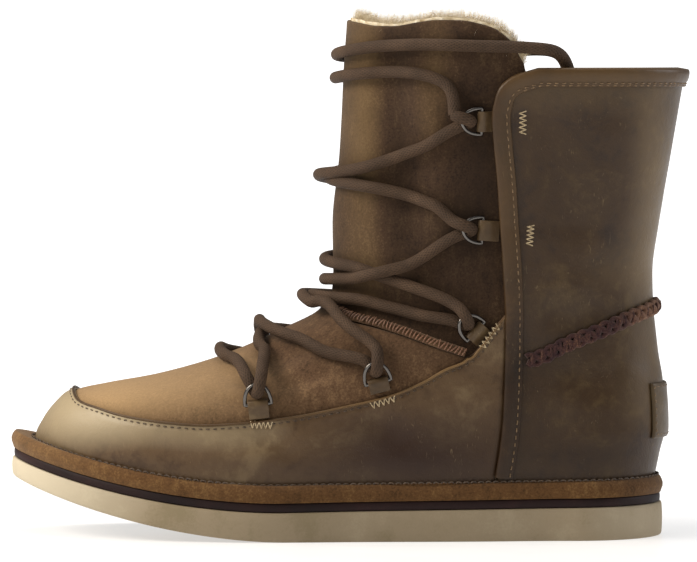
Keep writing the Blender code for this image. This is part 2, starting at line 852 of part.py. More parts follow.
def ring_seat(side, number):
    """Seat of a ring: point, tab direction, bar direction, way out, and its row of the table."""
    row = RING_SEATS[number - 1]
    station, height, angle, on_tongue = row[1], row[2], math.radians(row[3]), row[5]
    turn, rise = side_spot(side, station * SOLE_LENGTH, height * COLLAR_HEIGHT)
    normal = form_normal(turn, rise)
    ground = -on_tongue * (UPPER_WALL + CLEARANCE)
    seat = form_point(turn, rise) + normal * ground
    pointing = np.array([math.cos(angle), 0.0, math.sin(angle)])
    tab_way = unit(pointing - normal * (pointing @ normal))
    bar_way = np.cross(normal, tab_way) * side
    return seat, tab_way, bar_way, normal, row


def ring_mouth(side, number, lane):
    """Row for the place where a strand starts or ends, just clear of its ring."""
    seat, tab_way, bar_way, _, row = ring_seat(side, number)
    spot = seat - tab_way * (RING_REACH + 0.25 * LACE_DIAMETER)
    spot = spot + bar_way * (lane * 0.56 * LACE_DIAMETER)
    return (side, spot[0] / SOLE_LENGTH, spot[2] / COLLAR_HEIGHT, row[5], 0.05)


def strand_path(rows, spacing):
    """Middle line of a strand through its rows, with a point about every spacing."""
    spots = []
    for side, station, height, ground, lift in rows:
        turn, rise = side_spot(side, station * SOLE_LENGTH, height * COLLAR_HEIGHT)
        off = LACE_CLEARANCE + (0.5 + lift) * LACE_DIAMETER - ground * (UPPER_WALL + CLEARANCE)
        spots.append((turn, rise, off))
    spots = np.array(spots)
    points = place(spots[:, 0], spots[:, 1], spots[:, 2])
    along = np.concatenate([[0.0], np.cumsum(np.linalg.norm(np.diff(points, axis=0), axis=1))])
    steps = max(3, round(along[-1] / spacing))
    at = np.linspace(0.0, along[-1], steps + 1)
    turn, rise, off = (smooth_through(along, spots[:, column], at) for column in range(3))
    return place(turn, rise, off)


def round_sections(path, radius, sides, closed):
    """Round sections along a path, turned with it without twisting."""
    if closed:
        ahead, behind = np.roll(path, -1, axis=0), np.roll(path, 1, axis=0)
        along = unit(ahead - behind)
    else:
        along = unit(np.gradient(path, axis=0))
    side_way = unit(np.cross(along[0], [0.31, 0.17, 0.93]))
    angles = np.linspace(0.0, 2 * math.pi, sides, endpoint=False)
    sections = []
    for point, way in zip(path, along):
        side_way = unit(side_way - way * (side_way @ way))
        up_way = np.cross(way, side_way)
        ring = np.outer(np.cos(angles), side_way) + np.outer(np.sin(angles), up_way)
        sections.append(point + radius * ring)
    return sections


def finish(name, colour, roughness, metallic=0.0):
    """Material with a plain colour given as an sRGB hex string."""
    channels = [int(colour[at : at + 2], 16) / 255 for at in (1, 3, 5)]
    linear = [c / 12.92 if c <= 0.04045 else ((c + 0.055) / 1.055) ** 2.4 for c in channels]
    found = bpy.data.materials.new(name)
    found.use_nodes = True
    surface = found.node_tree.nodes["Principled BSDF"]
    surface.inputs["Base Color"].default_value = (*linear, 1.0)
    surface.inputs["Roughness"].default_value = roughness
    surface.inputs["Metallic"].default_value = metallic
    found.diffuse_color = (*linear, 1.0)
    return found


def round_columns():
    """All columns round the upper, from the toe along the outer side and back to the toe."""
    front = np.arange(FRONT_COLUMNS + 1) / FRONT_COLUMNS
    rear = 1 + np.arange(1, REAR_COLUMNS + 1) / REAR_COLUMNS
    half = np.concatenate([front, rear])
    return np.concatenate([half, 4 - half[-2:0:-1]])


def front_columns(reach):
    """Columns from reach on the inner side round the toe to the same reach on the outer side."""
    columns = round_columns()
    outer = columns[columns <= reach]
    return np.concatenate([4 - outer[:0:-1], outer])


def build_sole(finishes, boot):
    """Outsole, midsole, welt and insole."""
    bevel = SOLE_EDGE_BEVEL
    turn = sole_turn()
    slab(
        "outsole",
        [
            outline_loop(turn, bevel, sole_lift),
            outline_loop(turn, 0.0, lambda x: sole_lift(x) + bevel),
            outline_loop(turn, 0.0, lambda x: outsole_top(x) - 0.5 * bevel),
            outline_loop(turn, 0.5 * bevel, outsole_top),
        ],
        finishes["foam_rubber"],
        boot,
    )
    slab(
        "midsole",
        [
            outline_loop(turn, MIDSOLE_INSET, lambda x: outsole_top(x) + CLEARANCE),
            outline_loop(turn, MIDSOLE_INSET, midsole_top),
        ],
        finishes["midsole_rubber"],
        boot,
    )
    turn = around_turn(round_columns(), 0.0)
    foot = 3 * CLEARANCE + LEATHER
    inner_high = form_loop(turn, foot, lambda x: feather_height(x) - 0.15 * WELT_HEIGHT)
    outer_high = outline_loop(turn, 0.5 * bevel, lambda x: feather_height(x) - 0.28 * WELT_HEIGHT)
    crown = 0.5 * (inner_high + outer_high)
    crown[:, 2] = feather_height(crown[:, 0])
    ring_solid(
        "welt",
        [
            form_loop(turn, foot, lambda x: midsole_top(x) + CLEARANCE),
            inner_high,
            crown,
            outer_high,
            outline_loop(turn, -WELT_BULGE, lambda x: feather_height(x) - 0.6 * WELT_HEIGHT),
            outline_loop(turn, 0.4 * bevel, lambda x: midsole_top(x) + CLEARANCE),
        ],
        finishes["welt_suede"],
        boot,
    )
    inset = -UPPER_WALL - 2 * CLEARANCE
    slab(
        "insole",
        [
            form_loop(turn, inset, lambda x: midsole_top(x) + CLEARANCE),
            form_loop(turn, inset, lambda x: midsole_top(x) + CLEARANCE + INSOLE_THICKNESS),
        ],
        finishes["insole_fleece"],
        boot,
    )


def mudguard_top(columns):
    """Rise of the mudguard's stitched edge, which runs into the throat's edge at the back."""
    rise = line_rise(around_turn, columns, MUDGUARD_LINE + THROAT_LINE[-3:])
    throat = line_rise(around_turn, columns, THROAT_LINE)
    return np.where(throat - rise < LEATHER, throat, rise)


def build_upper(finishes, boot):
    """The hollow upper: vamp and inner quarters in one wall, open at collar, throat and underneath."""
    columns = round_columns()
    low = bottom_rise(columns, CLEARANCE, (-UPPER_WALL, 0.0))
    middle = mudguard_top(columns)
    turn, rise, _ = grid(around_turn, columns, low, middle, MUDGUARD_ROWS)
    front = front_columns(1.0)
    throat = line_rise(around_turn, front, THROAT_LINE)
    vamp = grid(around_turn, front, mudguard_top(front), throat, VAMP_ROWS)
    behind = columns[(columns >= 1) & (columns <= 3)]
    collar = np.full(behind.shape, collar_rise())
    shaft = grid(around_turn, behind, mudguard_top(behind), collar, SHAFT_ROWS)
    panel(
        "upper",
        [(turn, rise, True), vamp, shaft],
        -UPPER_WALL,
        0.0,
        finishes["vamp_suede"],
        boot,
    )


def build_overlays(finishes, boot):
    """The leather laid over the upper: mudguard, quarter and heel patch."""
    offsets = (CLEARANCE, CLEARANCE + LEATHER)
    columns = front_columns(1.0)
    columns[0] += 0.0026
    columns[-1] -= 0.0026
    low = bottom_rise(columns, CLEARANCE, offsets)
    patch = grid(around_turn, columns, low, mudguard_top(columns), MUDGUARD_ROWS)
    panel("mudguard", [patch], *offsets, finishes["mudguard_leather"], boot)

    columns = round_columns()
    columns = columns[(columns >= 1) & (columns <= 3)]
    low = bottom_rise(columns, CLEARANCE, offsets)
    throat = mudguard_top(columns)
    collar = np.full(columns.shape, collar_rise())
    lower = grid(around_turn, columns, low, throat, MUDGUARD_ROWS)
    upper = grid(around_turn, columns, throat, collar, SHAFT_ROWS)
    panel("quarter", [lower, upper], *offsets, finishes["quarter_leather"], boot)

    columns = 2 + np.arange(-PATCH_COLUMNS, PATCH_COLUMNS + 1) / REAR_COLUMNS
    low, top = (
        np.full(columns.shape, rise_on(np.array(SOLE_LENGTH), share * COLLAR_HEIGHT))
        for share in (PATCH_BOTTOM, PATCH_TOP)
    )
    patch = grid(around_turn, columns, low, top, (0.0, 0.5, 1.0))
    lies_on = 2.6 * CLEARANCE + LEATHER
    offsets = (lies_on, lies_on + PATCH_THICKNESS)
    panel("heel_patch", [patch], *offsets, finishes["patch_leather"], boot)


def binding_path():
    """Turn and rise along the quarter's edge: up the outer front, round the collar, down the inner."""
    start = float(bottom_rise(np.ones(1), WELT_HEIGHT + 6 * CLEARANCE, (0.0, 3 * LEATHER))[0])
    throat = THROAT_LINE[-1][1] * COLLAR_HEIGHT - heel_feather()
    shares = np.array([0.0, 0.22, 0.44, 0.64, 0.80, 0.89, 0.93, 0.96, 0.985])
    lower = np.linspace(start, throat + 2 * CLEARANCE, 7)
    upper = throat + 2 * BINDING_LIP + (collar_rise() - throat - 2 * BINDING_LIP) * shares
    rise = np.concatenate([lower, upper])
    edge = side_turn(QUARTER_EDGE, rise)
    corner = float(side_turn(QUARTER_EDGE, np.array(collar_rise())))
    collar = np.linspace(corner, 2 * math.pi - corner, 15)
    turn = np.concatenate([edge, collar, 2 * math.pi - edge[::-1]])
    return turn, np.concatenate([rise, np.full(collar.shape, collar_rise()), rise[::-1]])


def build_trims(finishes, boot):
    """Binding round the quarter, heel braid, and the stitched roll on the vamp's edge."""
    lies_on = 3 * CLEARANCE + LEATHER
    throat = THROAT_LINE[-1][1] * COLLAR_HEIGHT

    def binding_section(height, _):
        deep = LEATHER + UPPER_WALL if height > throat + BINDING_LIP else 0.5 * CLEARANCE
        top = lies_on + BINDING_RISE
        return [
            (BINDING_WIDTH, lies_on),
            (0.94 * BINDING_WIDTH, lies_on + 0.6 * BINDING_RISE),
            (0.50 * BINDING_WIDTH, top),
            (0.0, top),
            (-BINDING_LIP, top - 0.45 * BINDING_RISE),
            (-BINDING_LIP, lies_on - deep),
            (-CLEARANCE, lies_on - deep),
            (-CLEARANCE, lies_on),
        ]

    strip("binding", *binding_path(), binding_section, finishes["binding_leather"], boot)

    lies_on = 2.6 * CLEARANCE + LEATHER
    outer = [side_spot(1, row[0] * SOLE_LENGTH, row[1] * COLLAR_HEIGHT) for row in BRAID_LINE[:-1]]
    back_rise = float(rise_on(np.array(SOLE_LENGTH), BRAID_LINE[-1][1] * COLLAR_HEIGHT))
    half = np.array(outer + [(math.pi, back_rise)])
    full = np.concatenate([half, [(2 * math.pi - t, r) for t, r in half[-2::-1]]])
    points = form_point(full[:, 0], full[:, 1])
    along = np.concatenate([[0.0], np.cumsum(np.linalg.norm(np.diff(points, axis=0), axis=1))])
    at = np.linspace(0.0, along[-1], 2 * BRAID_LUMPS + 1)
    turn = smooth_through(along, full[:, 0], at)
    rise = smooth_through(along, full[:, 1], at)

    def braid_section(_, share):
        full_here = 0.82 + 0.18 * math.sin(math.pi * BRAID_LUMPS * share) ** 2
        half_width_here = 0.5 * BRAID_WIDTH * full_here
        top = BRAID_RISE * full_here
        return [
            (half_width_here, lies_on),
            (0.72 * half_width_here, lies_on + 0.75 * top),
            (0.0, lies_on + top),
            (-0.72 * half_width_here, lies_on + 0.75 * top),
            (-half_width_here, lies_on),
        ]

    strip("heel_braid", turn, rise, braid_section, finishes["braid_cord"], boot)

    columns = np.linspace(-0.93, 0.93, 25) % 4
    rise = line_rise(around_turn, columns, THROAT_LINE)
    turn = around_turn(columns, rise)
    turn = np.where(turn > math.pi, turn - 2 * math.pi, turn)
    station = form_point(turn, rise)[:, 0] / SOLE_LENGTH
    kept = station < ROLL_END

    def roll_section(*_):
        return [
            (0.0, CLEARANCE),
            (0.17 * EDGE_ROLL_WIDTH, CLEARANCE + 0.75 * EDGE_ROLL_RISE),
            (0.50 * EDGE_ROLL_WIDTH, CLEARANCE + EDGE_ROLL_RISE),
            (0.83 * EDGE_ROLL_WIDTH, CLEARANCE + 0.75 * EDGE_ROLL_RISE),
            (EDGE_ROLL_WIDTH, CLEARANCE),
        ]

    strip(
        "vamp_edge_roll",
        turn[kept][::-1],
        rise[kept][::-1],
        roll_section,
        finishes["edge_stitching"],
        boot,
    )


def build_tongue(finishes, boot):
    """The tongue, which wraps round the shin inside the upper and stands above the collar."""
    reach = 1 + 1 / REAR_COLUMNS
    columns = front_columns(reach + 0.001)
    low = line_rise(tongue_turn, columns, THROAT_LINE[:8], TONGUE_TUCK)
    knots, values = share_curve(TONGUE_TOP, 1)
    round_share = np.minimum(columns, 4 - columns) / reach
    top = smooth_through(knots, values, round_share) * TONGUE_HEIGHT - heel_feather()
    seam = line_rise(tongue_turn, columns, THROAT_LINE[:8])
    tuck = grid(tongue_turn, columns, low, seam, (0.0, 0.4, 0.75, 1.0))
    free = grid(tongue_turn, columns, seam, top, TONGUE_ROWS)
    face = -UPPER_WALL - 2 * CLEARANCE
    panel("tongue", [tuck, free], face - TONGUE_WALL, face, finishes["tongue_suede"], boot)


def build_fittings(finishes, boot):
    """The D-rings, and the leather tabs that hold them."""
    wire = 0.5 * RING_WIRE
    hole = wire + CLEARANCE
    shell = hole + TAB_LEATHER
    tilt = math.radians(RING_TILT)
    for row in RING_SEATS:
        for side, label in ((1, "outer"), (-1, "inner")):
            seat, tab_way, bar_way, normal, _ = ring_seat(side, row[0])
            bar = seat + normal * (CLEARANCE + shell)
            arc_way = normal * math.sin(tilt) - tab_way * math.cos(tilt)
            half = 0.5 * (RING_WIDTH - RING_WIRE)
            angles = np.linspace(0.0, math.pi, 9)
            arc = [
                bar
                + bar_way * (half * math.cos(a))
                + arc_way * ((RING_REACH - wire) * math.sin(a) ** 0.8)
                for a in angles
            ]
            straight = [bar - bar_way * (half * share) for share in (0.4, -0.4)]
            path = np.array(arc + straight)
            ring_solid(
                f"ring_{row[0]}_{label}",
                round_sections(path, wire, WIRE_SIDES, True),
                finishes["ring_steel"],
                boot,
            )
            length = row[4] * TAB_LENGTH
            bend = np.linspace(-0.5 * math.pi, 0.5 * math.pi, 4)
            profile = [(length, -shell)]
            profile += [(-shell * math.cos(a), shell * math.sin(a)) for a in bend]
            profile += [(0.5 * length, 0.6 * shell), (length, CLEARANCE - hole + TAB_LEATHER)]
            profile += [(length, CLEARANCE - hole), (0.5 * length, 0.6 * shell - TAB_LEATHER)]
            profile += [(-hole * math.cos(a), hole * math.sin(a)) for a in bend[::-1]]
            profile += [(length, -hole)]
            sections = []
            for place_along in (-0.5 * TAB_WIDTH, 0.5 * TAB_WIDTH):
                middle = bar + bar_way * place_along
                sections.append(
                    np.array([middle + tab_way * t + normal * n for t, n in profile])
                )
            swept(f"tab_{row[0]}_{label}", sections, finishes["tab_leather"], boot)


def strand_rows(strand):
    """All rows of a strand, with its ends at the mouths of its rings."""
    start, rows, end = strand
    return [ring_mouth(*start)] + rows + [ring_mouth(*end)]


def lace_tube(name, strand, finishes, boot):
    """One strand as a round tube."""
    path = strand_path(strand_rows(strand), 1.25 * LACE_DIAMETER)
    sections = round_sections(path, 0.5 * LACE_DIAMETER, LACE_SIDES, False)
    return swept(name, sections, finishes["lace_cord"], boot)


def build_laces(finishes, boot):
    """Laces: a bar, four joined crossings, and the two free ends as cords."""
    lace_tube("lace_bar", LACE_BAR, finishes, boot)
    for name, below, above in LACE_CROSSINGS:
        crossing = lace_tube(f"lace_crossing_{name}", below, finishes, boot)
        over = lace_tube("over", above, finishes, boot)
        join = crossing.modifiers.new("join", "BOOLEAN")
        join.operation = "UNION"
        join.solver = "EXACT"
        join.object = over
        bpy.context.view_layer.update()
        state = bpy.context.evaluated_depsgraph_get()
        joined = bpy.data.meshes.new_from_object(crossing.evaluated_get(state))
        crossing.modifiers.remove(join)
        crossing.data = joined
        bpy.data.objects.remove(over)
    for name, start, rows in LACE_ENDS:
        path = strand_path([ring_mouth(*start)] + rows, 1.8 * LACE_DIAMETER)
        curve = bpy.data.curves.new(f"lace_end_{name}", "CURVE")
        curve.dimensions = "3D"
        curve.bevel_depth = 0.5 * LACE_DIAMETER
        curve.bevel_resolution = 2
        curve.use_fill_caps = True
        line = curve.splines.new("POLY")
        line.points.add(len(path) - 1)
        for point, spot in zip(line.points, path):
            point.co = (*spot, 1.0)
        curve.materials.append(finishes["lace_cord"])
        cord = bpy.data.objects.new(f"lace_end_{name}", curve)
        bpy.context.scene.collection.objects.link(cord)
        cord.parent = boot


def centre(boot):
    """Moves the boot so that the middle of its solids' box, cords left out, stands on the origin."""
    bpy.context.view_layer.update()
    corners = []
    for child in boot.children:
        if child.type == "MESH":
            corners += [list(child.matrix_world @ Vector(corner)) for corner in child.bound_box]
    low, high = np.min(corners, axis=0), np.max(corners, axis=0)
    boot.location = (-0.5 * (low[0] + high[0]), -0.5 * (low[1] + high[1]), -low[2])


def main():
    """Builds the boot."""
    for found in list(bpy.data.objects):
        bpy.data.objects.remove(found)
    finishes = {
        "foam_rubber": finish("foam_rubber", "#A8977E", 0.75),
        "midsole_rubber": finish("midsole_rubber", "#3A2527", 0.60),
        "welt_suede": finish("welt_suede", "#8A6A44", 0.85),
        "insole_fleece": finish("insole_fleece", "#C9B694", 0.95),
        "vamp_suede": finish("vamp_suede", "#8A6239", 0.85),
        "mudguard_leather": finish("mudguard_leather", "#5A4636", 0.50),
        "quarter_leather": finish("quarter_leather", "#4A3C2E", 0.55),
        "binding_leather": finish("binding_leather", "#5C4932", 0.55),
        "patch_leather": finish("patch_leather", "#54422F", 0.55),
        "tab_leather": finish("tab_leather", "#5E4B33", 0.60),
        "tongue_suede": finish("tongue_suede", "#5B3E27", 0.85),
        "edge_stitching": finish("edge_stitching", "#A5673B", 0.80),
        "braid_cord": finish("braid_cord", "#4B2E35", 0.80),
        "lace_cord": finish("lace_cord", "#6B553D", 0.80),
        "ring_steel": finish("ring_steel", "#8C8C8C", 0.25, 1.0),
    }
    boot = bpy.data.objects.new("boot", None)
    bpy.context.scene.collection.objects.link(boot)
    build_sole(finishes, boot)
    build_upper(finishes, boot)
    build_overlays(finishes, boot)
    build_tongue(finishes, boot)
    build_trims(finishes, boot)
    build_fittings(finishes, boot)
    build_laces(finishes, boot)
    centre(boot)


main()
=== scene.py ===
"""Finished look of a left lace-up boot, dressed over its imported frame.

Lengths are in metres in the row's frame: the toe points along -X, the outer side faces -Y, +Z is up.
Every upper piece follows one surface, the last, whose points are given by turn (0 at the toe or shin,
+pi at the heel along the outer side, -pi along the inner side) and by rise above the feather line.
"""

import logging
import math
from dataclasses import dataclass, field
from enum import Enum
from typing import Callable

import bmesh
import bpy
import numpy as np
from mathutils import Matrix, Vector, noise


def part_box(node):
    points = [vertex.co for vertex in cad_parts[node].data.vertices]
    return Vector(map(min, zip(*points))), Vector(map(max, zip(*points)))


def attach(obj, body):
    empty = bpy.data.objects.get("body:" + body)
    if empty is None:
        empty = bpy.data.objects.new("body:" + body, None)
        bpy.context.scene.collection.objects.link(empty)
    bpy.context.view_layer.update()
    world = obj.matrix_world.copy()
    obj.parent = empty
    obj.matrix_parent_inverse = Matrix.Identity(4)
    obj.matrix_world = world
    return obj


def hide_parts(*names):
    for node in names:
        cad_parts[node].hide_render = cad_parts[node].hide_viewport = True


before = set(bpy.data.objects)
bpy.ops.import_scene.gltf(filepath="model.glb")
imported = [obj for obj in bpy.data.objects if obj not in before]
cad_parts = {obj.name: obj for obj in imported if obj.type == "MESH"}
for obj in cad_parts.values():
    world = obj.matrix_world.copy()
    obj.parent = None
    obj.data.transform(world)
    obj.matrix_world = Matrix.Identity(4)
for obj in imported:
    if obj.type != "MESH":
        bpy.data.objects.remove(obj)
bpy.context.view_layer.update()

LOG = logging.getLogger("boot")
MM = 0.001
ROOT = "root"

# Sole outline: station from toe to heel, then how much of the ball width and of the heel width lies on
# the outer and on the inner side of the axis there.
SOLE_OUTLINE = [
    # station, outer_ball, outer_heel, inner_ball, inner_heel
    (0.00, 0.380, 0.000, 0.400, 0.000),
    (0.15, 0.445, 0.000, 0.430, 0.000),
    (0.30, 0.512, 0.000, 0.463, 0.000),
    (0.38, 0.526, 0.000, 0.468, 0.000),
    (0.55, 0.300, 0.233, 0.220, 0.248),
    (0.70, 0.080, 0.481, 0.040, 0.470),
    (0.85, 0.000, 0.516, 0.000, 0.512),
    (1.00, 0.000, 0.505, 0.000, 0.505),
]
# Rings of the last: rise is a share of the collar's rise, the other lengths are shares of the sole.
LAST_RINGS = [
    # rise, front, back, nose_run, square, heel_run
    (-0.053, 0.0450, 0.9760, 0.305, 2.0, 0.117),
    (0.000, 0.0417, 0.9839, 0.305, 2.0, 0.124),
    (0.059, 0.0533, 0.9916, 0.298, 2.1, 0.131),
    (0.118, 0.0734, 0.9996, 0.285, 2.2, 0.139),
    (0.165, 0.0994, 0.9989, 0.268, 2.2, 0.146),
    (0.200, 0.1505, 0.9974, 0.278, 2.2, 0.152),
    (0.236, 0.2229, 0.9956, 0.307, 2.1, 0.158),
    (0.295, 0.3266, 0.9894, 0.322, 2.0, 0.168),
    (0.354, 0.4077, 0.9850, 0.307, 2.0, 0.180),
    (0.418, 0.4783, 0.9810, 0.270, 2.0, 0.194),
    (0.501, 0.4852, 0.9795, 0.248, 2.0, 0.212),
    (0.619, 0.4841, 0.9887, 0.241, 2.0, 0.226),
    (0.796, 0.4947, 1.0073, 0.248, 2.0, 0.241),
    (1.002, 0.5020, 1.0289, 0.262, 2.0, 0.262),
    (1.160, 0.5075, 1.0455, 0.268, 2.0, 0.268),
]
# Half widths at three stations, as shares of the ball width (fore and waist) and heel width (rear).
LAST_WIDTHS = [
    # rise, fore_outer, fore_inner, waist_outer, waist_inner, rear_outer, rear_inner
    (-0.053, 0.462, 0.410, 0.412, 0.345, 0.444, 0.444),
    (0.000, 0.474, 0.421, 0.426, 0.358, 0.457, 0.457),
    (0.059, 0.484, 0.432, 0.442, 0.374, 0.474, 0.474),
    (0.165, 0.466, 0.422, 0.442, 0.395, 0.480, 0.480),
    (0.295, 0.434, 0.403, 0.427, 0.396, 0.475, 0.475),
    (0.470, 0.420, 0.405, 0.420, 0.405, 0.490, 0.490),
]
SHAFT_FLARE = [(0.0, 0.00), (0.45, 0.42), (1.0, 1.00), (1.42, 1.15)]
# Lines drawn on the side: station along the sole, height as a share of the collar height.
MUDGUARD_LINE = [
    (0.0983, 0.309),
    (0.1122, 0.289),
    (0.1465, 0.276),
    (0.1790, 0.265),
    (0.2112, 0.258),
    (0.2601, 0.251),
    (0.3076, 0.248),
    (0.3595, 0.252),
    (0.4406, 0.266),
    (0.5228, 0.289),
    (0.5882, 0.311),
    (0.6372, 0.340),
    (0.6693, 0.366),
    (0.6956, 0.381),
    (0.7070, 0.390),
]
THROAT_LINE = [
    (0.4790, 0.4925),
    (0.5024, 0.4818),
    (0.5250, 0.4674),
    (0.5641, 0.4545),
    (0.6109, 0.4350),
    (0.6566, 0.4123),
    (0.6913, 0.3964),
    (0.7070, 0.3900),
    (0.7187, 0.4067),
    (0.7446, 0.4514),
    (0.7610, 0.4787),
]
QUARTER_EDGE = [
    # height, station
    (0.050, 0.7420),
    (0.138, 0.7486),
    (0.195, 0.7552),
    (0.271, 0.7607),
    (0.405, 0.7636),
    (0.477, 0.7640),
    (0.574, 0.7614),
    (0.672, 0.7567),
    (0.769, 0.7523),
    (0.853, 0.7468),
    (0.907, 0.7446),
    (0.932, 0.7479),
    (0.956, 0.7530),
    (0.977, 0.7665),
    (0.992, 0.7885),
    (1.000, 0.8111),
]
TONGUE_TOP = [
    # share of the way round to the tongue's side edge, height as a share of the tongue height
    (0.00, 1.000),
    (0.24, 0.993),
    (0.37, 0.987),
    (0.47, 0.986),
    (0.57, 0.992),
    (0.66, 0.997),
    (0.75, 0.996),
    (0.83, 0.988),
    (0.91, 0.970),
    (0.96, 0.950),
    (1.00, 0.915),
]
TONGUE_TAPER = [(0.93, 1.00), (1.04, 0.66), (1.16, 0.60)]
BRAID_LINE = [
    (0.7930, 0.383),
    (0.8200, 0.396),
    (0.8470, 0.416),
    (0.9000, 0.446),
    (0.9560, 0.479),
    (1.0000, 0.494),
]
# Ring seats: number, station, height, the way the tab points on the boot's side in degrees, how far the
# tab reaches as a share of the tab length, and what it lies on (0 the vamp's face, 1 the tongue's).
RING_SEATS = [
    (1, 0.7255, 0.892, -2.0, 0.68, 1.0),
    (2, 0.7265, 0.661, -4.0, 1.14, 1.0),
    (3, 0.7165, 0.446, -42.0, 0.72, 1.0),
    (4, 0.5700, 0.338, -76.0, 0.66, 0.0),
    (5, 0.3896, 0.290, -84.0, 0.95, 0.0),
]
# The lace as one run from the outer ring 1 down to the bar and up to the inner ring 1. A strand is the
# ring it leaves (side, number), its rows, and the ring it reaches. Row columns: side (0 on the centre
# line), station, height, ground (0 the vamp's face, 1 the tongue's, more is further in), and lift in
# lace diameters.
LACE_STRANDS = [
    (
        (-1, 2),
        [
            (-1, 0.6550, 0.714, 1.0, 0.0),
            (-1, 0.6100, 0.735, 1.0, 0.0),
            (-1, 0.5650, 0.750, 1.0, 0.10),
            (0, 0.0000, 0.772, 1.0, 0.84),
            (1, 0.5400, 0.790, 1.0, 0.10),
            (1, 0.6310, 0.834, 1.0, 0.0),
        ],
        (1, 1),
    ),
    (
        (1, 3),
        [
            (1, 0.6190, 0.541, 1.0, 0.0),
            (1, 0.5710, 0.563, 1.0, 0.0),
            (1, 0.5300, 0.581, 1.0, 0.0),
            (0, 0.0000, 0.594, 1.0, 0.0),
            (-1, 0.5400, 0.604, 1.0, 0.0),
            (-1, 0.6200, 0.622, 1.0, 0.0),
        ],
        (-1, 2),
    ),
    (
        (-1, 4),
        [
            (-1, 0.5300, 0.440, 0.0, 0.50),
            (-1, 0.5020, 0.478, 0.0, 0.55),
            (0, 0.0000, 0.512, 0.0, 0.30),
            (1, 0.5300, 0.512, 0.6, 0.05),
            (1, 0.5870, 0.496, 1.0, 0.0),
            (1, 0.6320, 0.480, 1.0, 0.0),
        ],
        (1, 3),
    ),
    (
        (1, 5),
        [
            (1, 0.3990, 0.392, 0.0, 0.0),
            (0, 0.0000, 0.427, 0.0, 0.0),
            (-1, 0.4480, 0.418, 0.0, 0.0),
            (-1, 0.4900, 0.394, 0.0, 0.0),
        ],
        (-1, 4),
    ),
    (
        (-1, 5),
        [
            (-1, 0.3520, 0.370, 0.0, 0.0),
            (0, 0.0000, 0.386, 0.0, 0.0),
            (1, 0.3520, 0.370, 0.0, 0.0),
        ],
        (1, 5),
    ),
    (
        (1, 4),
        [
            (1, 0.4900, 0.394, 0.0, 0.0),
            (1, 0.4480, 0.418, 0.0, 0.10),
            (0, 0.0000, 0.427, 0.0, 0.84),
            (-1, 0.3990, 0.392, 0.0, 0.10),
        ],
        (-1, 5),
    ),
    (
        (-1, 3),
        [
            (-1, 0.6320, 0.480, 1.0, 0.0),
            (-1, 0.5870, 0.494, 1.0, 0.0),
            (-1, 0.5300, 0.508, 0.6, 0.45),
            (0, 0.0000, 0.508, 0.0, 1.14),
            (1, 0.5020, 0.478, 0.0, 0.80),
            (1, 0.5300, 0.440, 0.0, 0.55),
        ],
        (1, 4),
    ),
    (
        (1, 2),
        [
            (1, 0.6100, 0.584, 1.0, 0.10),
            (1, 0.5640, 0.566, 1.0, 0.84),
            (1, 0.5300, 0.556, 1.0, 0.10),
            (0, 0.0000, 0.550, 1.0, 0.0),
            (-1, 0.5400, 0.543, 1.0, 0.0),
            (-1, 0.5800, 0.535, 1.0, 0.0),
            (-1, 0.6190, 0.524, 1.0, 0.0),
        ],
        (-1, 3),
    ),
    (
        (-1, 1),
        [
            (-1, 0.6310, 0.834, 1.0, 0.0),
            (-1, 0.5650, 0.800, 1.0, 0.0),
            (0, 0.0000, 0.772, 1.0, 0.0),
            (1, 0.5650, 0.750, 1.0, 0.0),
            (1, 0.6100, 0.735, 1.0, 0.0),
            (1, 0.6550, 0.714, 1.0, 0.0),
        ],
        (1, 2),
    ),
]
LACE_ENDS = [
    # name, ring it leaves, rows round the shin to where it dives behind the other quarter
    (
        "inner",
        (1, 1),
        [
            (1, 0.6820, 0.968, 1.0, 0.0),
            (1, 0.6440, 0.990, 1.0, 0.0),
            (1, 0.5920, 0.998, 1.0, 0.0),
            (1, 0.5400, 0.993, 1.0, 0.0),
            (0, 0.0000, 0.984, 1.0, 0.0),
            (-1, 0.5300, 0.990, 1.0, 0.10),
            (-1, 0.5800, 1.002, 1.0, 0.80),
            (-1, 0.6150, 1.010, 1.0, 1.25),
            (-1, 0.6500, 1.018, 1.0, 0.80),
            (-1, 0.7000, 1.030, 1.0, 0.10),
            (-1, 0.7500, 1.040, 1.0, 0.05),
            (-1, 0.8100, 1.046, 1.0, 0.10),
            (-1, 0.8420, 1.040, 2.2, 0.0),
            (-1, 0.8600, 1.008, 3.5, 0.0),
            (-1, 0.8660, 0.970, 3.5, 0.0),
        ],
    ),
    (
        "outer",
        (-1, 1),
        [
            (-1, 0.6700, 0.982, 1.0, 0.0),
            (-1, 0.6150, 1.010, 1.0, 0.0),
            (-1, 0.5500, 1.026, 1.0, 0.0),
            (0, 0.0000, 1.034, 1.0, 0.0),
            (1, 0.5300, 1.044, 1.0, 0.0),
            (1, 0.5700, 1.052, 1.0, 0.0),
            (1, 0.6370, 1.055, 1.0, 0.0),
            (1, 0.7100, 1.052, 1.0, 0.0),
            (1, 0.7700, 1.050, 1.0, 0.05),
            (1, 0.8100, 1.047, 1.0, 0.10),
            (1, 0.8420, 1.040, 2.2, 0.0),
            (1, 0.8600, 1.008, 3.5, 0.0),
            (1, 0.8660, 0.972, 3.5, 0.0),
        ],
    ),
]


def linear(colour: str) -> tuple[float, float, float, float]:
    """Turns an sRGB hex string into the linear colour a shader socket takes.

    Args:
        colour: "#rrggbb".

    Returns:
        Linear red, green, blue and an alpha of 1.
    """
    channels = [int(colour[at : at + 2], 16) / 255 for at in (1, 3, 5)]
    red, green, blue = (
        c / 12.92 if c <= 0.04045 else ((c + 0.055) / 1.055) ** 2.4 for c in channels
    )
    return red, green, blue, 1.0


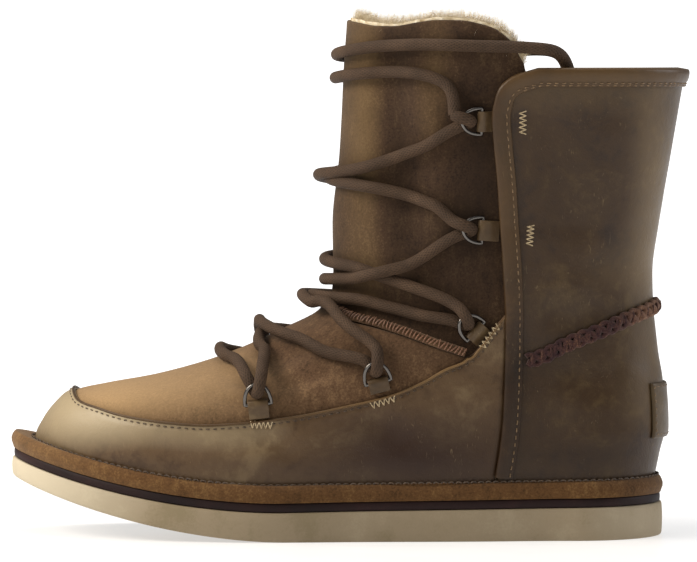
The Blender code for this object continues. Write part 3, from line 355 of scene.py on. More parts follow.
def smooth_through(knots: np.ndarray, values: np.ndarray, at: np.ndarray) -> np.ndarray:
    """Shape-preserving cubic through the knots, so a table never overshoots its own rows.

    Args:
        knots: rising positions.
        values: value at each knot.
        at: where to read the curve.

    Returns:
        The curve's value at each place, held level past both ends.
    """
    knots, values = np.asarray(knots, float), np.asarray(values, float)
    gaps = np.diff(knots)
    slopes = np.diff(values) / gaps
    tangents = np.zeros_like(values)
    before = 2 * gaps[1:] + gaps[:-1]
    after = gaps[1:] + 2 * gaps[:-1]
    with np.errstate(divide="ignore", invalid="ignore"):
        mean = (before + after) / (before / slopes[:-1] + after / slopes[1:])
    tangents[1:-1] = np.where(slopes[:-1] * slopes[1:] > 0, mean, 0.0)
    tangents[0], tangents[-1] = slopes[0], slopes[-1]
    inside = np.clip(np.asarray(at, float), knots[0], knots[-1])
    cell = np.clip(np.searchsorted(knots, inside, side="right") - 1, 0, len(gaps) - 1)
    t = (inside - knots[cell]) / gaps[cell]
    return (
        (1 + 2 * t) * (1 - t) ** 2 * values[cell]
        + t * (1 - t) ** 2 * gaps[cell] * tangents[cell]
        + t**2 * (3 - 2 * t) * values[cell + 1]
        + t**2 * (t - 1) * gaps[cell] * tangents[cell + 1]
    )


def table(rows: list, column: int) -> tuple[np.ndarray, np.ndarray]:
    """Knots (first column) and values (another column) of a table."""
    return np.array([row[0] for row in rows]), np.array([row[column] for row in rows])


def ease(t: np.ndarray) -> np.ndarray:
    """0 to 1 with flat ends."""
    t = np.clip(t, 0.0, 1.0)
    return t * t * (3 - 2 * t)


def rounded_end(distance: np.ndarray, run: float, square: float) -> np.ndarray:
    """Width share near a round end: 0 at the end, 1 once distance reaches run."""
    t = np.clip(distance / run, 0.0, 1.0)
    return np.sqrt(np.maximum(1 - (1 - t) ** square, 0.0))


def unit(vectors: np.ndarray) -> np.ndarray:
    """The same directions at length 1."""
    return vectors / np.linalg.norm(vectors, axis=-1, keepdims=True)


def arc_length(points: np.ndarray) -> np.ndarray:
    """Distance along a line of points, from its first."""
    steps = np.linalg.norm(np.diff(points, axis=0), axis=1)
    return np.concatenate([[0.0], np.cumsum(steps)])


@dataclass(frozen=True)
class Crease:
    """A soft trough or ridge drawn on the boot's side.

    points are (millimetres from the toe tip, millimetres above the floor); depth is negative for a
    trough; side is +1 for the outer side, -1 for the inner side and 0 for both.
    """

    points: tuple
    depth: float
    width: float
    side: int = 0
    lip: float = 0.35

    def relief(self, x: np.ndarray, z: np.ndarray, outer: np.ndarray) -> np.ndarray:
        """How far the surface stands out there.

        Args:
            x: distance from the toe tip in metres.
            z: height above the floor in metres.
            outer: which points lie on the outer side.

        Returns:
            Signed distance in metres.
        """
        spots = np.array(self.points) * MM
        total = arc_length(spots)[-1]
        best = np.full(x.shape, np.inf)
        along = np.zeros(x.shape)
        run = 0.0
        for start, end in zip(spots[:-1], spots[1:]):
            way = end - start
            length = np.linalg.norm(way)
            t = np.clip(((x - start[0]) * way[0] + (z - start[1]) * way[1]) / length**2, 0, 1)
            gap = np.hypot(x - start[0] - t * way[0], z - start[1] - t * way[1])
            nearer = gap < best
            best = np.where(nearer, gap, best)
            along = np.where(nearer, (run + t * length) / total, along)
            run += length
        across = best / (self.width * MM)
        fade = ease(np.minimum(along, 1 - along) / 0.22 + 0.12)
        shape = np.exp(-(across**2)) - self.lip * np.exp(-((across - 1.9) ** 2) / 0.7)
        wanted = np.ones(x.shape) if self.side == 0 else np.where(outer == (self.side > 0), 1.0, 0.0)
        return self.depth * MM * shape * fade * wanted


CREASES = [
    # Tongue: the long hollow in front of the binding, the fold beside it, and small sags between laces.
    Crease(((157, 214), (160, 190), (165, 160), (168, 130), (168, 112)), -2.2, 8.0, 0, 0.30),
    Crease(((185, 214), (186, 196), (190, 176)), 1.3, 7.0, 0, 0.0),
    Crease(((145, 176), (163, 171), (180, 166)), -0.7, 4.5),
    Crease(((143, 140), (160, 137), (178, 141)), -0.6, 4.5),
    # Vamp: flex creases around the two lower rings.
    Crease(((84, 62), (94, 58), (103, 56)), -0.8, 2.6),
    Crease(((88, 69), (99, 66), (111, 64)), -0.7, 3.2),
    Crease(((116, 62), (126, 67), (137, 70)), -0.9, 3.0),
    Crease(((106, 74), (118, 76), (131, 82)), -0.6, 3.4),
    # Mudguard: shallow dents behind the toe and at the flex line.
    Crease(((58, 40), (72, 36), (86, 34)), -0.5, 5.0),
    Crease(((104, 46), (116, 40), (124, 34)), -0.5, 4.5),
    Crease(((150, 54), (162, 46), (170, 38)), -0.4, 5.0),
    # Quarter: slow waves of a soft shaft.
    Crease(((226, 182), (232, 150), (240, 120)), -0.7, 9.0),
    Crease(((252, 176), (256, 150), (262, 128)), 0.6, 9.0, 0, 0.0),
    Crease(((222, 98), (236, 92), (250, 98)), -0.6, 6.0),
    Crease(((228, 72), (242, 66), (258, 68)), -0.5, 6.0),
]


@dataclass(frozen=True)
class Last:
    """The boot's own form, and the outline of the sole under it."""

    sole_length: float = 0.2740
    ball_width: float = 0.0950
    heel_width: float = 0.0720
    toe_spring: float = 0.0240
    spring_start: float = 0.430
    spring_power: float = 1.8
    toe_swing: float = 0.0070
    outsole_heel: float = 0.0140
    outsole_toe: float = 0.0080
    midsole: float = 0.0034
    welt: float = 0.0074
    collar: float = 0.1945
    tongue: float = 0.2160
    shaft_width: float = 0.0900
    ankle_width: float = 0.0780
    wall: float = 0.0024
    leather: float = 0.0013
    gap: float = 0.0003
    spring_fade: float = 0.0800
    nose_run: float = 0.250
    nose_square: float = 2.3
    heel_run: float = 0.135
    stations: tuple = (0.36, 0.60, 0.88)
    ankle_rise: float = 0.619

    def sole_lift(self, x: np.ndarray) -> np.ndarray:
        """Height of the sole's underside above the floor, from the toe spring."""
        start = self.spring_start * self.sole_length
        return self.toe_spring * np.clip((start - x) / start, 0.0, 1.0) ** self.spring_power

    def outsole_top(self, x: np.ndarray) -> np.ndarray:
        """Height of the outsole's upper face."""
        middle = 0.6 * self.outsole_heel + 0.45 * self.outsole_toe
        share = np.clip(x / self.sole_length, 0.0, 1.0)
        knots = (self.outsole_toe, middle, self.outsole_heel)
        return self.sole_lift(x) + smooth_through((0.0, 0.4, 1.0), knots, share)

    def midsole_top(self, x: np.ndarray) -> np.ndarray:
        """Height of the midsole's upper face."""
        return self.outsole_top(x) + self.gap + self.midsole

    def feather(self, x: np.ndarray) -> np.ndarray:
        """Height of the line where the upper leaves the welt."""
        return self.midsole_top(x) + self.gap + self.welt

    @property
    def heel_feather(self) -> float:
        """Feather height at the heel, from which rise is counted."""
        return float(self.feather(np.array(self.sole_length)))

    @property
    def collar_rise(self) -> float:
        """Rise of the collar above the feather line."""
        return self.collar - self.heel_feather

    def swing(self, x: np.ndarray) -> np.ndarray:
        """How far the middle line leans to the inner side towards the toe."""
        ball = 0.40 * self.sole_length
        return self.toe_swing * np.clip((ball - x) / ball, 0.0, 1.0) ** 1.6

    def height_at(self, x: np.ndarray, rise: np.ndarray) -> np.ndarray:
        """Height above the floor: the toe spring fades out as the last rises."""
        fade = np.clip(1 - rise / self.spring_fade, 0.0, None)
        return self.heel_feather + rise + (self.feather(x) - self.heel_feather) * fade

    def ring(self, column: int, rise: np.ndarray) -> np.ndarray:
        """One column of LAST_RINGS at this rise."""
        return smooth_through(*table(LAST_RINGS, column), rise / self.collar_rise)

    def ends(self, rise: np.ndarray) -> tuple[np.ndarray, np.ndarray]:
        """Where the last's ring starts at the front and ends at the back."""
        return self.ring(1, rise) * self.sole_length, self.ring(2, rise) * self.sole_length

    def half_width(self, x: np.ndarray, rise: np.ndarray, outer: bool) -> np.ndarray:
        """Half width at x on one side.

        Args:
            x: distance from the sole's toe tip.
            rise: rise above the feather line.
            outer: whether it is the outer side.

        Returns:
            Half widths in metres.
        """
        front, back = self.ends(rise)
        share = rise / self.collar_rise
        widths = [
            smooth_through(*table(LAST_WIDTHS, 2 * station + (1 if outer else 2)), share) * size
            for station, size in enumerate((self.ball_width, self.ball_width, self.heel_width))
        ]
        fore, waist, rear = widths
        first, middle, last = (station * self.sole_length for station in self.stations)
        foot = fore + (waist - fore) * ease((x - first) / (middle - first))
        foot = foot + (rear - waist) * ease((x - middle) / (last - middle))
        flare = smooth_through(
            *table(SHAFT_FLARE, 1), (share - self.ankle_rise) / (1 - self.ankle_rise)
        )
        shaft = 0.5 * (self.ankle_width + (self.shaft_width - self.ankle_width) * flare)
        body = foot + (shaft - foot) * ease((share - 0.30) / (LAST_WIDTHS[-1][0] + 0.15 - 0.30))
        nose = rounded_end(x - front, self.ring(3, rise) * self.sole_length, self.ring(4, rise))
        heel = rounded_end(back - x, self.ring(5, rise) * self.sole_length, 2.0)
        return body * nose * heel

    def point(self, turn: np.ndarray, rise: np.ndarray) -> np.ndarray:
        """Point of the bare last, x counted from the sole's toe tip."""
        turn, rise = np.broadcast_arrays(np.asarray(turn, float), np.asarray(rise, float))
        front, back = self.ends(rise)
        x = front + (back - front) * (1 - np.cos(turn)) / 2
        outer, inner = self.half_width(x, rise, True), self.half_width(x, rise, False)
        y = self.swing(x) + np.where(np.sin(turn) >= 0, -outer, inner)
        return np.stack([x, y, self.height_at(x, rise)], axis=-1)

    def normal(self, turn: np.ndarray, rise: np.ndarray) -> np.ndarray:
        """Outward direction there."""
        turn_step, rise_step = 0.004, 0.0004
        around = self.point(turn + turn_step, rise) - self.point(turn - turn_step, rise)
        upward = self.point(turn, rise + rise_step) - self.point(turn, rise - rise_step)
        return unit(np.cross(around, upward))

    def creased(self, turn: np.ndarray, rise: np.ndarray) -> np.ndarray:
        """How far the creases move the surface in or out there."""
        spot = self.point(turn, rise)
        outer = np.sin(turn) >= 0
        total = sum(crease.relief(spot[..., 0], spot[..., 2], outer) for crease in CREASES)
        return total * ease((spot[..., 2] - self.feather(spot[..., 0])) / 0.012)

    def place(self, turn: np.ndarray, rise: np.ndarray, offset: np.ndarray) -> np.ndarray:
        """Point that stands off the bare last by offset."""
        return self.point(turn, rise) + self.normal(turn, rise) * np.asarray(offset)[..., None]

    def settle(self, turn: np.ndarray, rise: np.ndarray, offset: np.ndarray) -> np.ndarray:
        """The same point with the creases, in the row's frame."""
        return self.place(turn, rise, offset + self.creased(turn, rise)) + SHIFT

    def turn_at(self, x: np.ndarray, rise: np.ndarray) -> np.ndarray:
        """Turn, from 0 to pi, at which a ring of the last reaches x."""
        front, back = self.ends(rise)
        return np.arccos(np.clip(1 - 2 * (x - front) / (back - front), -1.0, 1.0))

    def side_turn(self, rows: list, rise: np.ndarray, shift: float = 0.0) -> np.ndarray:
        """Turn of an upright line at this rise, from rows of height and station."""
        knots, values = table(rows, 1)
        x = np.full_like(np.asarray(rise, float), 0.76 * self.sole_length)
        for _ in range(4):
            height = self.height_at(x, rise)
            x = smooth_through(knots * self.collar, values * self.sole_length, height)
        return self.turn_at(x + shift, rise)

    def around(self, columns: np.ndarray, rise: np.ndarray) -> np.ndarray:
        """Turn of columns round the upper: 0 toe, 1 outer quarter edge, 2 heel, 3 inner edge, 4 toe."""
        near = np.where(columns <= 2, columns, 4 - columns)
        edge = self.side_turn(QUARTER_EDGE, rise)
        turn = np.where(near <= 1, near * edge, edge + (math.pi - edge) * (near - 1))
        return np.where(columns <= 2, turn, 2 * math.pi - turn)

    def around_tongue(self, columns: np.ndarray, rise: np.ndarray) -> np.ndarray:
        """Turn of the same columns on the tongue, which runs on straight past the quarter's corner."""
        near = np.where(columns <= 2, columns, 4 - columns)
        edge = self.side_turn(QUARTER_EDGE[:11], rise)
        taper = smooth_through(*table(TONGUE_TAPER, 1), (self.heel_feather + rise) / self.collar)
        turn = np.where(near <= 1, near * edge, edge + (math.pi - edge) * (near - 1) * taper)
        return np.where(columns <= 2, turn, -turn)

    def solve_rise(
        self, turn_of: Callable, height_of: Callable, low: np.ndarray, high: np.ndarray, offset: float = 0.0
    ) -> np.ndarray:
        """Rise at which a column meets a height line at an offset.

        Args:
            turn_of: turn of the column for a rise.
            height_of: height of the line for an x.
            low: rises below the line.
            high: rises above it.
            offset: how far off the last.

        Returns:
            The rise of each column's meeting point.
        """
        low, high = np.array(low, float), np.array(high, float)
        for _ in range(26):
            middle = (low + high) / 2
            spot = self.place(turn_of(middle), middle, offset)
            above = spot[..., 2] > height_of(spot[..., 0])
            high = np.where(above, middle, high)
            low = np.where(above, low, middle)
        return (low + high) / 2

    def rise_on(self, x: np.ndarray, height: np.ndarray) -> np.ndarray:
        """Rise of a point of the side, given its x and its height."""
        lift = self.feather(x) - self.heel_feather
        rise = height - self.heel_feather
        return np.where(rise < self.spring_fade, (rise - lift) / (1 - lift / self.spring_fade), rise)

    def bottom_rise(self, columns: np.ndarray, gap: float, offset: float) -> np.ndarray:
        """Rise of a layer's bottom edge, a gap above the midsole."""
        low = np.full(columns.shape, -0.06 * self.collar_rise)
        return self.solve_rise(
            lambda rise: self.around(columns, rise),
            lambda x: self.midsole_top(x) + gap,
            low,
            low + 0.3 * self.collar_rise,
            offset,
        )

    def line_rise(self, turn_of: Callable, columns: np.ndarray, rows: list, drop: float = 0.0) -> np.ndarray:
        """Rise at which columns of a panel meet a line drawn on the side, lowered by drop."""
        low = np.full(columns.shape, -0.06 * self.collar_rise)
        knots, values = table(rows, 1)
        return self.solve_rise(
            lambda rise: turn_of(columns, rise),
            lambda x: smooth_through(knots * self.sole_length, values * self.collar, x) - drop,
            low,
            low + 1.06 * self.collar_rise,
        )

    def mudguard_top(self, columns: np.ndarray) -> np.ndarray:
        """Rise of the mudguard's stitched edge, which runs into the throat's edge at the back."""
        rise = self.line_rise(self.around, columns, MUDGUARD_LINE + THROAT_LINE[-3:])
        throat = self.line_rise(self.around, columns, THROAT_LINE)
        return np.where(throat - rise < self.leather, throat, rise)

    def side_spot(self, side: int, station: float, height: float) -> tuple[float, float]:
        """Turn and rise of a point given by its side, station and height share."""
        x, height = station * self.sole_length, height * self.collar
        if side == 0:
            low = np.full(1, -0.06 * self.collar_rise)
            high = low + 1.3 * self.collar_rise
            rise = self.solve_rise(lambda at: np.zeros(1), lambda at: height, low, high)
            return 0.0, float(rise[0])
        rise = float(self.rise_on(np.array(x), height))
        return side * float(self.turn_at(x, rise)), rise

    def outline(self, turn: np.ndarray, inset: float, height: Callable) -> np.ndarray:
        """Loop round the sole's outline, inset from its edge, at height(x)."""
        x = self.sole_length * (1 - np.cos(turn)) / 2
        rows = np.array(SOLE_OUTLINE)
        knots = rows[:, 0] * self.sole_length
        outer = smooth_through(knots, rows[:, 1] * self.ball_width + rows[:, 2] * self.heel_width, x)
        inner = smooth_through(knots, rows[:, 3] * self.ball_width + rows[:, 4] * self.heel_width, x)
        ends = rounded_end(x, self.nose_run * self.sole_length, self.nose_square)
        ends = ends * rounded_end(self.sole_length - x, self.heel_run * self.sole_length, 2.0)
        y = self.swing(x) + np.where(np.sin(turn) >= 0, -outer, inner) * ends
        flat = np.stack([x, y, np.zeros_like(x)], axis=-1)
        along = unit(np.roll(flat, -1, axis=0) - np.roll(flat, 1, axis=0))
        flat = flat + np.cross([0.0, 0.0, 1.0], along) * inset
        flat[:, 2] = height(flat[:, 0])
        return flat + SHIFT

    def foot_loop(self, turn: np.ndarray, offset: float, height: Callable) -> np.ndarray:
        """Loop round the last at a height line, standing off it by offset."""
        low = np.full(turn.shape, -0.06 * self.collar_rise)
        rise = self.solve_rise(lambda _: turn, height, low, low + 0.3 * self.collar_rise)
        loop = self.place(turn, rise, offset)
        loop[:, 2] = height(loop[:, 0])
        return loop + SHIFT


def frame_shift(last: Last) -> np.ndarray:
    """Where the sole's toe tip and axis lie in the row's frame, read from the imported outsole."""
    low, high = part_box("outsole")
    turn = np.linspace(0.0, 2 * math.pi, 48, endpoint=False)
    loop = last.outline(turn, 0.0, last.sole_lift)
    return np.array(
        [low[0] - loop[:, 0].min(), 0.5 * (low[1] + high[1] - loop[:, 1].min() - loop[:, 1].max()), 0.0]
    )


SHIFT = np.zeros(3)
LAST = Last()
SHIFT = frame_shift(LAST)


def add_node(tree: bpy.types.NodeTree, kind: str, inputs: dict | None = None, **settings) -> bpy.types.Node:
    """Adds a shader node with its settings and links.

    Args:
        tree: the material's node tree.
        kind: Blender's node type.
        inputs: socket name or index to a socket, which is linked, or to a value.
        settings: properties of the node.

    Returns:
        The new node.
    """
    made = tree.nodes.new(kind)
    for name, value in settings.items():
        setattr(made, name, value)
    for name, value in (inputs or {}).items():
        if isinstance(value, bpy.types.NodeSocket):
            tree.links.new(value, made.inputs[name])
        else:
            made.inputs[name].default_value = value
    return made


def ramp(tree: bpy.types.NodeTree, source: bpy.types.NodeSocket, stops: list) -> bpy.types.NodeSocket:
    """Colour ramp through stops of (position, hex colour).

    Args:
        tree: the material's node tree.
        source: what drives the ramp.
        stops: positions and colours in rising order.

    Returns:
        The ramp's colour socket.
    """
    found = add_node(tree, "ShaderNodeValToRGB", {0: source})
    band = found.color_ramp
    band.interpolation = "EASE"
    while len(band.elements) < len(stops):
        band.elements.new(0.5)
    for element, (position, colour) in zip(band.elements, stops):
        element.position = position
        element.color = linear(colour)
    return found.outputs["Color"]


def blend_colour(
    tree: bpy.types.NodeTree, share: bpy.types.NodeSocket | float, below: object, above: object, mode: str = "MIX"
) -> bpy.types.NodeSocket:
    """Mixes two colours.

    Args:
        tree: the material's node tree.
        share: how much of the second colour shows.
        below: first colour or socket.
        above: second colour or socket.
        mode: Blender's mixing mode.

    Returns:
        The mixed colour's socket.
    """
    mix = add_node(tree, "ShaderNodeMix", data_type="RGBA", blend_type=mode)
    for name, value in ((0, share), (6, below), (7, above)):
        if isinstance(value, bpy.types.NodeSocket):
            tree.links.new(value, mix.inputs[name])
        else:
            mix.inputs[name].default_value = value
    return mix.outputs[2]


def mathed(tree: bpy.types.NodeTree, operation: str, *values: object, clamp: bool = False) -> bpy.types.NodeSocket:
    """Result socket of one arithmetic node over sockets or numbers."""
    inputs = dict(enumerate(values))
    found = add_node(tree, "ShaderNodeMath", inputs, operation=operation, use_clamp=clamp)
    return found.outputs[0]


def patterned(
    tree: bpy.types.NodeTree,
    place: bpy.types.NodeSocket,
    size_mm: float,
    detail: float = 2.0,
    roughness: float = 0.5,
    distortion: float = 0.0,
) -> bpy.types.NodeSocket:
    """Noise whose features are about size_mm across."""
    return add_node(
        tree,
        "ShaderNodeTexNoise",
        {
            "Vector": place,
            "Scale": 1000.0 / size_mm,
            "Detail": detail,
            "Roughness": roughness,
            "Distortion": distortion,
        },
    ).outputs["Fac"]


def stretched(tree: bpy.types.NodeTree, place: bpy.types.NodeSocket, scale: tuple, turn: tuple) -> bpy.types.NodeSocket:
    """Coordinates turned and stretched, for patterns that run one way."""
    return add_node(
        tree, "ShaderNodeMapping", {"Vector": place, "Rotation": turn, "Scale": scale}
    ).outputs["Vector"]


def new_material(name: str) -> tuple[bpy.types.Material, bpy.types.NodeTree, bpy.types.Node]:
    """An empty node material, its tree and its principled shader."""
    made = bpy.data.materials.new(name)
    made.use_nodes = True
    return made, made.node_tree, made.node_tree.nodes["Principled BSDF"]


def bumped(tree: bpy.types.NodeTree, shader: bpy.types.Node, layers: list) -> None:
    """Stacks bumps on a shader from layers of (height socket, depth in mm)."""
    previous = None
    for height, depth_mm in layers:
        inputs = {"Height": height, "Distance": depth_mm * MM, "Strength": 1.0}
        if previous is not None:
            inputs["Normal"] = previous
        previous = add_node(tree, "ShaderNodeBump", inputs).outputs["Normal"]
    tree.links.new(previous, shader.inputs["Normal"])


@dataclass(frozen=True)
class BuffedSuede:
    """Split hide buffed to a nap: no gloss, a pale bloom at grazing angles, and soft stroked patches."""

    name: str
    dark: str
    base: str
    light: str
    # deep and glow are painted shade and painted light colours, laid on by the piece's tone.
    deep: str
    glow: str
    sheen: float = 0.30
    nap_mm: float = 0.9

    def make(self) -> bpy.types.Material:
        """Builds the material."""
        made, tree, shader = new_material(self.name)
        place = add_node(tree, "ShaderNodeTexCoord").outputs["Object"]
        tone = add_node(tree, "ShaderNodeAttribute", attribute_name="tone").outputs["Fac"]
        patches = patterned(tree, place, 16.0, 4.0, 0.60, 0.4)
        strokes = patterned(
            tree, stretched(tree, place, (1.0, 1.0, 0.35), (0.0, 0.5, 0.0)), 3.2, 3.0, 0.6
        )
        fibre = patterned(tree, place, self.nap_mm, 3.0, 0.7)
        spread = mathed(tree, "ADD", mathed(tree, "MULTIPLY", patches, 0.32), mathed(tree, "MULTIPLY", strokes, 0.28))
        spread = mathed(tree, "ADD", spread, mathed(tree, "MULTIPLY", fibre, 0.40))
        colour = ramp(tree, spread, [(0.38, self.dark), (0.50, self.base), (0.63, self.light)])
        # Painted shade towards deep where the tone is negative, painted light towards glow where it is positive.
        darker = mathed(tree, "MULTIPLY", tone, -1.0, clamp=True)
        lighter = mathed(tree, "MULTIPLY", tone, 1.0, clamp=True)
        colour = blend_colour(tree, darker, colour, linear(self.deep))
        colour = blend_colour(tree, lighter, colour, linear(self.glow))
        speck = mathed(tree, "ADD", mathed(tree, "MULTIPLY", fibre, 0.5), 0.75)
        colour = blend_colour(tree, 1.0, colour, speck, "MULTIPLY")
        tree.links.new(colour, shader.inputs["Base Color"])
        shader.inputs["Roughness"].default_value = 0.92
        shader.inputs["Specular IOR Level"].default_value = 0.15
        shader.inputs["Sheen Weight"].default_value = self.sheen
        shader.inputs["Sheen Roughness"].default_value = 0.55
        shader.inputs["Sheen Tint"].default_value = linear("#efe3d2")
        bumped(tree, shader, [(patches, 0.25), (strokes, 0.10), (fibre, 0.10)])
        return made


@dataclass(frozen=True)
class WaxedLeather:
    """Full-grain hide dressed with wax: satin gloss, fine grain, and paler marks where it was bent or rubbed."""

    name: str
    dark: str
    base: str
    light: str
    # deep and glow are painted shade and painted light colours, laid on by the piece's tone.
    deep: str
    glow: str
    scuff: str = "#8a7758"
    roughness: float = 0.42
    coat: float = 0.05
    grain_mm: float = 0.7
    scuffs: float = 0.30

    def make(self) -> bpy.types.Material:
        """Builds the material."""
        made, tree, shader = new_material(self.name)
        place = add_node(tree, "ShaderNodeTexCoord").outputs["Object"]
        tone = add_node(tree, "ShaderNodeAttribute", attribute_name="tone").outputs["Fac"]
        clouds = patterned(tree, place, 28.0, 5.0, 0.62, 0.6)
        mottle = patterned(tree, place, 5.0, 5.0, 0.65, 0.3)
        spread = mathed(tree, "ADD", mathed(tree, "MULTIPLY", clouds, 0.62), mathed(tree, "MULTIPLY", mottle, 0.38))
        colour = ramp(tree, spread, [(0.34, self.dark), (0.50, self.base), (0.68, self.light)])
        # Painted shade towards deep where the tone is negative, painted light towards glow where it is positive.
        colour = blend_colour(tree, mathed(tree, "MULTIPLY", tone, -1.0, clamp=True), colour, linear(self.deep))
        colour = blend_colour(tree, mathed(tree, "MULTIPLY", tone, 1.0, clamp=True), colour, linear(self.glow))
        marks = self.marks(tree, place)
        colour = blend_colour(tree, mathed(tree, "MULTIPLY", marks, self.scuffs), colour, linear(self.scuff))
        tree.links.new(colour, shader.inputs["Base Color"])
        gloss = mathed(tree, "ADD", mathed(tree, "MULTIPLY", mottle, 0.22), self.roughness - 0.11)
        gloss = mathed(tree, "ADD", gloss, mathed(tree, "MULTIPLY", marks, 0.2))
        tree.links.new(gloss, shader.inputs["Roughness"])
        shader.inputs["Specular IOR Level"].default_value = 0.20
        shader.inputs["Coat Weight"].default_value = self.coat
        shader.inputs["Coat Roughness"].default_value = 0.38
        pores = add_node(
            tree,
            "ShaderNodeTexVoronoi",
            {"Vector": place, "Scale": 1000.0 / self.grain_mm},
            feature="SMOOTH_F1",
        ).outputs["Distance"]
        rumple = patterned(tree, place, 2.4, 4.0, 0.6, 0.5)
        bumped(tree, shader, [(clouds, 0.5), (rumple, 0.10), (pores, 0.04)])
        return made

    def marks(self, tree: bpy.types.NodeTree, place: bpy.types.NodeSocket) -> bpy.types.NodeSocket:
        """Thin pale scratches and small rubbed spots, as a share from 0 to 1."""
        total = None
        for turn, size_mm in (((0.3, 0.9, 0.2), 7.0), ((1.4, -0.6, 0.9), 9.0)):
            lines = patterned(tree, stretched(tree, place, (1.0, 1.0, 0.22), turn), size_mm * 0.12, 2.0, 0.5, 1.4)
            patchy = patterned(tree, place, size_mm * 2.2, 2.0, 0.5)
            thin = mathed(tree, "MULTIPLY", mathed(tree, "SUBTRACT", lines, 0.66), 14.0, clamp=True)
            where = mathed(tree, "MULTIPLY", mathed(tree, "SUBTRACT", patchy, 0.54), 9.0, clamp=True)
            found = mathed(tree, "MULTIPLY", thin, where)
            total = found if total is None else mathed(tree, "MAXIMUM", total, found)
        spots = patterned(tree, place, 1.6, 2.0, 0.5)
        patchy = patterned(tree, place, 21.0, 2.0, 0.5)
        rubbed = mathed(tree, "MULTIPLY", mathed(tree, "SUBTRACT", spots, 0.64), 7.0, clamp=True)
        where = mathed(tree, "MULTIPLY", mathed(tree, "SUBTRACT", patchy, 0.55), 7.0, clamp=True)
        return mathed(tree, "MAXIMUM", total, mathed(tree, "MULTIPLY", rubbed, where))


@dataclass(frozen=True)
class MouldedRubber:
    """Moulded rubber or foam rubber: matte, faintly cloudy, with the skin a mould leaves."""

    name: str
    dark: str
    base: str
    light: str
    # glow and deep are painted light and painted shade colours, laid on by the piece's tone.
    glow: str
    deep: str
    roughness: float = 0.72

    def make(self) -> bpy.types.Material:
        """Builds the material."""
        made, tree, shader = new_material(self.name)
        place = add_node(tree, "ShaderNodeTexCoord").outputs["Object"]
        tone = add_node(tree, "ShaderNodeAttribute", attribute_name="tone").outputs["Fac"]
        clouds = patterned(tree, place, 24.0, 4.0, 0.6)
        skin = patterned(tree, place, 0.9, 3.0, 0.6)
        spread = mathed(tree, "ADD", mathed(tree, "MULTIPLY", clouds, 0.8), mathed(tree, "MULTIPLY", skin, 0.2))
        colour = ramp(tree, spread, [(0.34, self.dark), (0.50, self.base), (0.68, self.light)])
        # Painted shade towards deep where the tone is negative, painted light towards glow where it is positive.
        colour = blend_colour(tree, mathed(tree, "MULTIPLY", tone, -1.0, clamp=True), colour, linear(self.deep))
        colour = blend_colour(tree, mathed(tree, "MULTIPLY", tone, 1.0, clamp=True), colour, linear(self.glow))
        tree.links.new(colour, shader.inputs["Base Color"])
        shader.inputs["Roughness"].default_value = self.roughness
        shader.inputs["Specular IOR Level"].default_value = 0.20
        bumped(tree, shader, [(clouds, 0.3), (skin, 0.03)])
        return made


@dataclass(frozen=True)
class BraidedCord:
    """Round waxed cord braided over a core: fine diamonds of two shades that climb both ways round it."""

    name: str
    dark: str
    base: str
    light: str
    diamonds_round: int = 13
    pitch_mm: float = 2.1

    def make(self) -> bpy.types.Material:
        """Builds the material. The map "cord" holds the way round (0 to 1) and metres along."""
        made, tree, shader = new_material(self.name)
        place = add_node(tree, "ShaderNodeTexCoord").outputs["Object"]
        spot = add_node(tree, "ShaderNodeUVMap", uv_map="cord").outputs["UV"]
        parts = add_node(tree, "ShaderNodeSeparateXYZ", {0: spot})
        around = mathed(tree, "MULTIPLY", parts.outputs["X"], 2 * math.pi * self.diamonds_round)
        along = mathed(tree, "MULTIPLY", parts.outputs["Y"], 2 * math.pi * 1000.0 / self.pitch_mm)
        climbing = mathed(tree, "SINE", mathed(tree, "ADD", around, along))
        falling = mathed(tree, "SINE", mathed(tree, "SUBTRACT", around, along))
        weave = mathed(tree, "MAXIMUM", climbing, falling)
        weave = mathed(tree, "ADD", mathed(tree, "MULTIPLY", weave, 0.5), 0.5)
        wear = patterned(tree, place, 11.0, 3.0, 0.6)
        fuzz = patterned(tree, place, 0.5, 2.0, 0.6)
        spread = mathed(tree, "ADD", mathed(tree, "MULTIPLY", weave, 0.30), mathed(tree, "MULTIPLY", wear, 0.40))
        spread = mathed(tree, "ADD", spread, mathed(tree, "MULTIPLY", fuzz, 0.30))
        colour = ramp(tree, spread, [(0.28, self.dark), (0.56, self.base), (0.82, self.light)])
        tree.links.new(colour, shader.inputs["Base Color"])
        shader.inputs["Roughness"].default_value = 0.78
        shader.inputs["Specular IOR Level"].default_value = 0.25
        shader.inputs["Sheen Weight"].default_value = 0.25
        shader.inputs["Sheen Roughness"].default_value = 0.5
        shader.inputs["Sheen Tint"].default_value = linear(self.light)
        bumped(tree, shader, [(weave, 0.20), (fuzz, 0.08)])
        return made


@dataclass(frozen=True)
class SpunThread:
    """Twisted polyester thread: small, slightly shiny, painted a shade lighter on top than in its twist, where the
    darker colour is painted shade.
    """

    name: str
    base: str
    light: str

    def make(self) -> bpy.types.Material:
        """Builds the material."""
        made, tree, shader = new_material(self.name)
        place = add_node(tree, "ShaderNodeTexCoord").outputs["Object"]
        twist = patterned(tree, place, 0.6, 2.0, 0.6)
        # The same noise darkens the thread's hollows and lightens its raised twist: painted shade and painted light.
        colour = ramp(tree, twist, [(0.35, self.base), (0.65, self.light)])
        tree.links.new(colour, shader.inputs["Base Color"])
        shader.inputs["Roughness"].default_value = 0.6
        bumped(tree, shader, [(twist, 0.06)])
        return made


